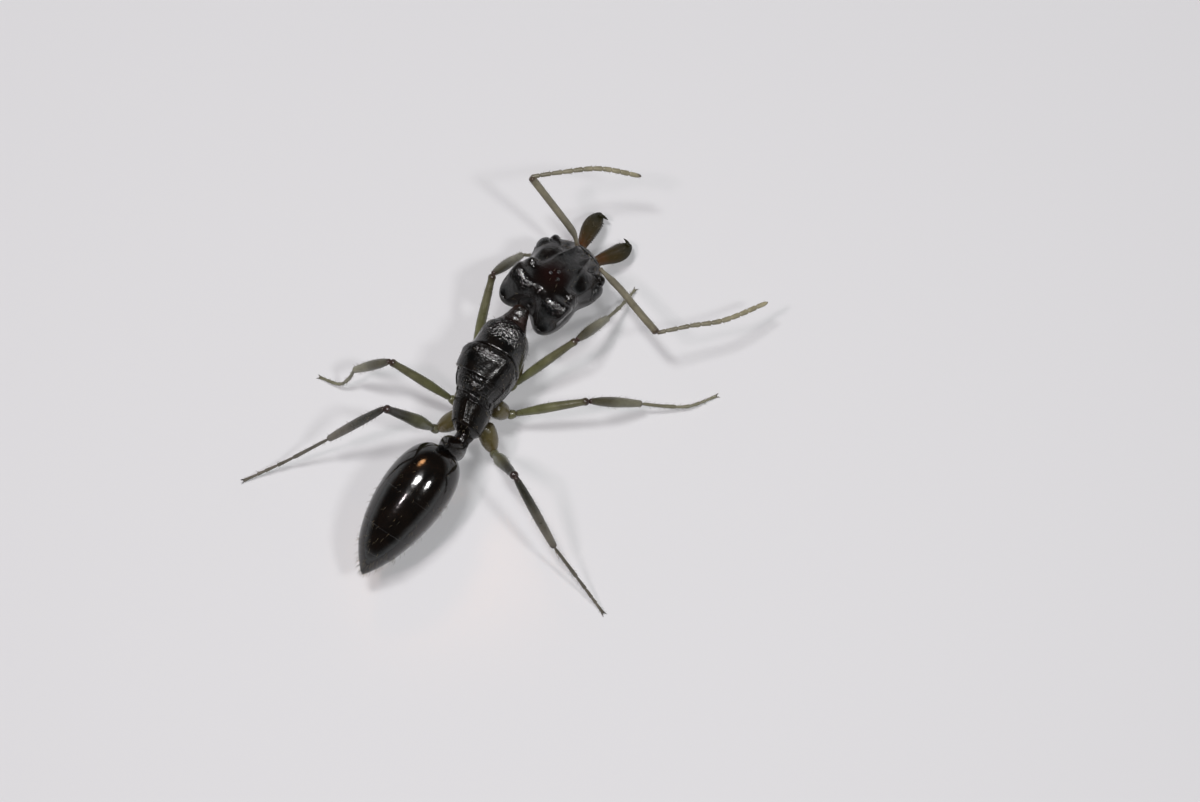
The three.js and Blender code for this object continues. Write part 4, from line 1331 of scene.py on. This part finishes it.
hair = {
    "patch": 0.003,  # size of a hair's patch in the unwrapping
    "tiles": 8,  # tiles along each side of the unwrapping
    "rings": 5,
    "sides": 4,
    "radius": 0.006,
    "lean": 0.7,
    "scatter": 0.25,  # how unevenly the hairs stand up
    "sunk": 0.012,  # depth of a root in the skin
}


def hairRoots(grid, count, weight):
    # random points of a skin, drawn in proportion to its area there times the weight
    along = np.linalg.norm(np.gradient(grid, axis=0), axis=-1)
    turn = np.linalg.norm(np.roll(grid, -1, axis=1) - grid, axis=-1)
    share = np.cumsum((along * turn * weight).ravel())
    return np.unravel_index(np.searchsorted(share, draw.random(count) * share[-1]), grid.shape[:2])


def hairBody(grid, count, length, tile, weight=1.0, lean=hair["lean"], radius=hair["radius"]):
    # curved hairs: root + length * (s * out + lean * s^2 * back), s from 0 to 1, narrowing as (1 - 0.9 s);
    # each hair is one small patch on the tile that unwraps its skin
    rings, sides, tiles = hair["rings"], hair["sides"], hair["tiles"]
    rows, columns = grid.shape[:2]
    i, j = hairRoots(grid, count, weight)
    out = normalsOf(grid)[i, j]
    out = unit(out + hair["scatter"] * draw.normal(size=out.shape))
    back = unit(np.gradient(grid, axis=0)[i, j] + 1e-9)
    size = length * draw.uniform(0.6, 1.25, count)[:, None, None]
    root, out, back, side = (each[:, None] for each in (grid[i, j], out, back, unit(np.cross(out, back))))
    s = np.linspace(0, 1, rings)[None, :, None]
    spine = root - hair["sunk"] * out + size * (s * out + lean * s ** 2 * back)
    over = unit(np.cross(side, out + 2 * lean * s * back))
    a = around(sides)[:, None]
    ring = np.cos(a) * side[:, None] + np.sin(a) * over[:, :, None]
    points = (spine[:, :, None] + radius * (1 - 0.9 * s)[..., None] * ring).reshape(-1, 3)
    top = (rings - 1) * sides
    caps = np.array([[2, 1, 0], [3, 2, 0], [top, top + 1, top + 2], [top, top + 2, top + 3]])
    faces = np.concatenate([tubeFaces(rings, sides), caps])
    faces = (np.arange(count)[:, None, None] * rings * sides + faces[None]).reshape(-1, 3)
    place = np.stack([tile % tiles + 0.04 + 0.92 * j / columns,
                      tile // tiles + 0.04 + 0.92 * i / rows], axis=-1) / tiles
    patch = np.stack(np.meshgrid(np.linspace(-0.5, 0.5, rings), np.linspace(-0.5, 0.5, sides),
                                 indexing="ij"), axis=-1)
    return {"points": points, "faces": facingOut(points, faces), "sculpt": np.zeros(len(points)),
            "along": np.tile(np.repeat(s.ravel(), sides), count),
            "uv": (place[:, None, None] + hair["patch"] * patch[None]).reshape(-1, 2)}


def inner(grid):
    # 1 on an open plate, 0 near its border
    weight = np.zeros(grid.shape[:2])
    weight[4:-4, 4:-4] = 1
    return weight


def seated(grid):
    # a grid of the head's own frame, moved to where the head stands
    return grid @ headTurn.T + head["centre"]


def buildBodyHairs():
    left, ahead = np.abs(headGrid[..., 0]), -headGrid[..., 1]
    face = (0.5 + 2.5 * ramp(ahead, 0.6, 1.3)) * ramp(ahead, 1.6, 1.5) * ramp(left, 1.1, 0.8)
    coats = [hairBody(seated(headGrid), 150, 0.09, 0, face)]
    for k, (name, count) in enumerate(zip(trunkGrids, (60, 40, 16, 60))):
        coats.append(hairBody(trunkGrids[name], count, 0.1, 1 + k, inner(trunkGrids[name]), 0.5))
    coats.append(hairBody(petioleGrid, 16, 0.1, 5, 1.0, 0.3))
    rings = zip(gasterGrids, (90, 70, 60, 50, 40), (0.1, 0.12, 0.14, 0.15, 0.16))
    for k, (grid, count, length) in enumerate(rings):
        back = np.clip(np.linspace(-0.3, 1, len(grid)), 0, 1)[:, None]
        coats.append(hairBody(grid, count, length, 6 + k, np.where(back > 0.95, 0, back)))
    for k, side in enumerate(("left", "right")):
        coats.append(hairBody(seated(jawSkin(side, easedSteps(130))), 46, 0.08, 11 + k))
    makePiece("body_setae", coats, skins["hair"])


def buildLimbHairs():
    # skin, number of hairs, their length, lean and radius
    rows = [(parts[name], count, length, 1.0, 0.005) for parts in legGrids.values() for name, count, length in
            (("coxa", 14, 0.06), ("femur", 60, 0.065), ("tibia", 100, 0.085), ("tarsus", 100, 0.075))]
    for shaft, lash in feelerGrids.values():
        rows += [(shaft, 80, 0.06, 1.1, 0.004), (lash, 200, 0.05, 1.1, 0.004)]
    coats = [hairBody(grid, count, length, 16 + k, 1.0, lean, radius)
             for k, (grid, count, length, lean, radius) in enumerate(rows)]
    makePiece("limb_setae", coats, skins["hair"])


buildBodyHairs()
buildLimbHairs()
print("hairs ready")
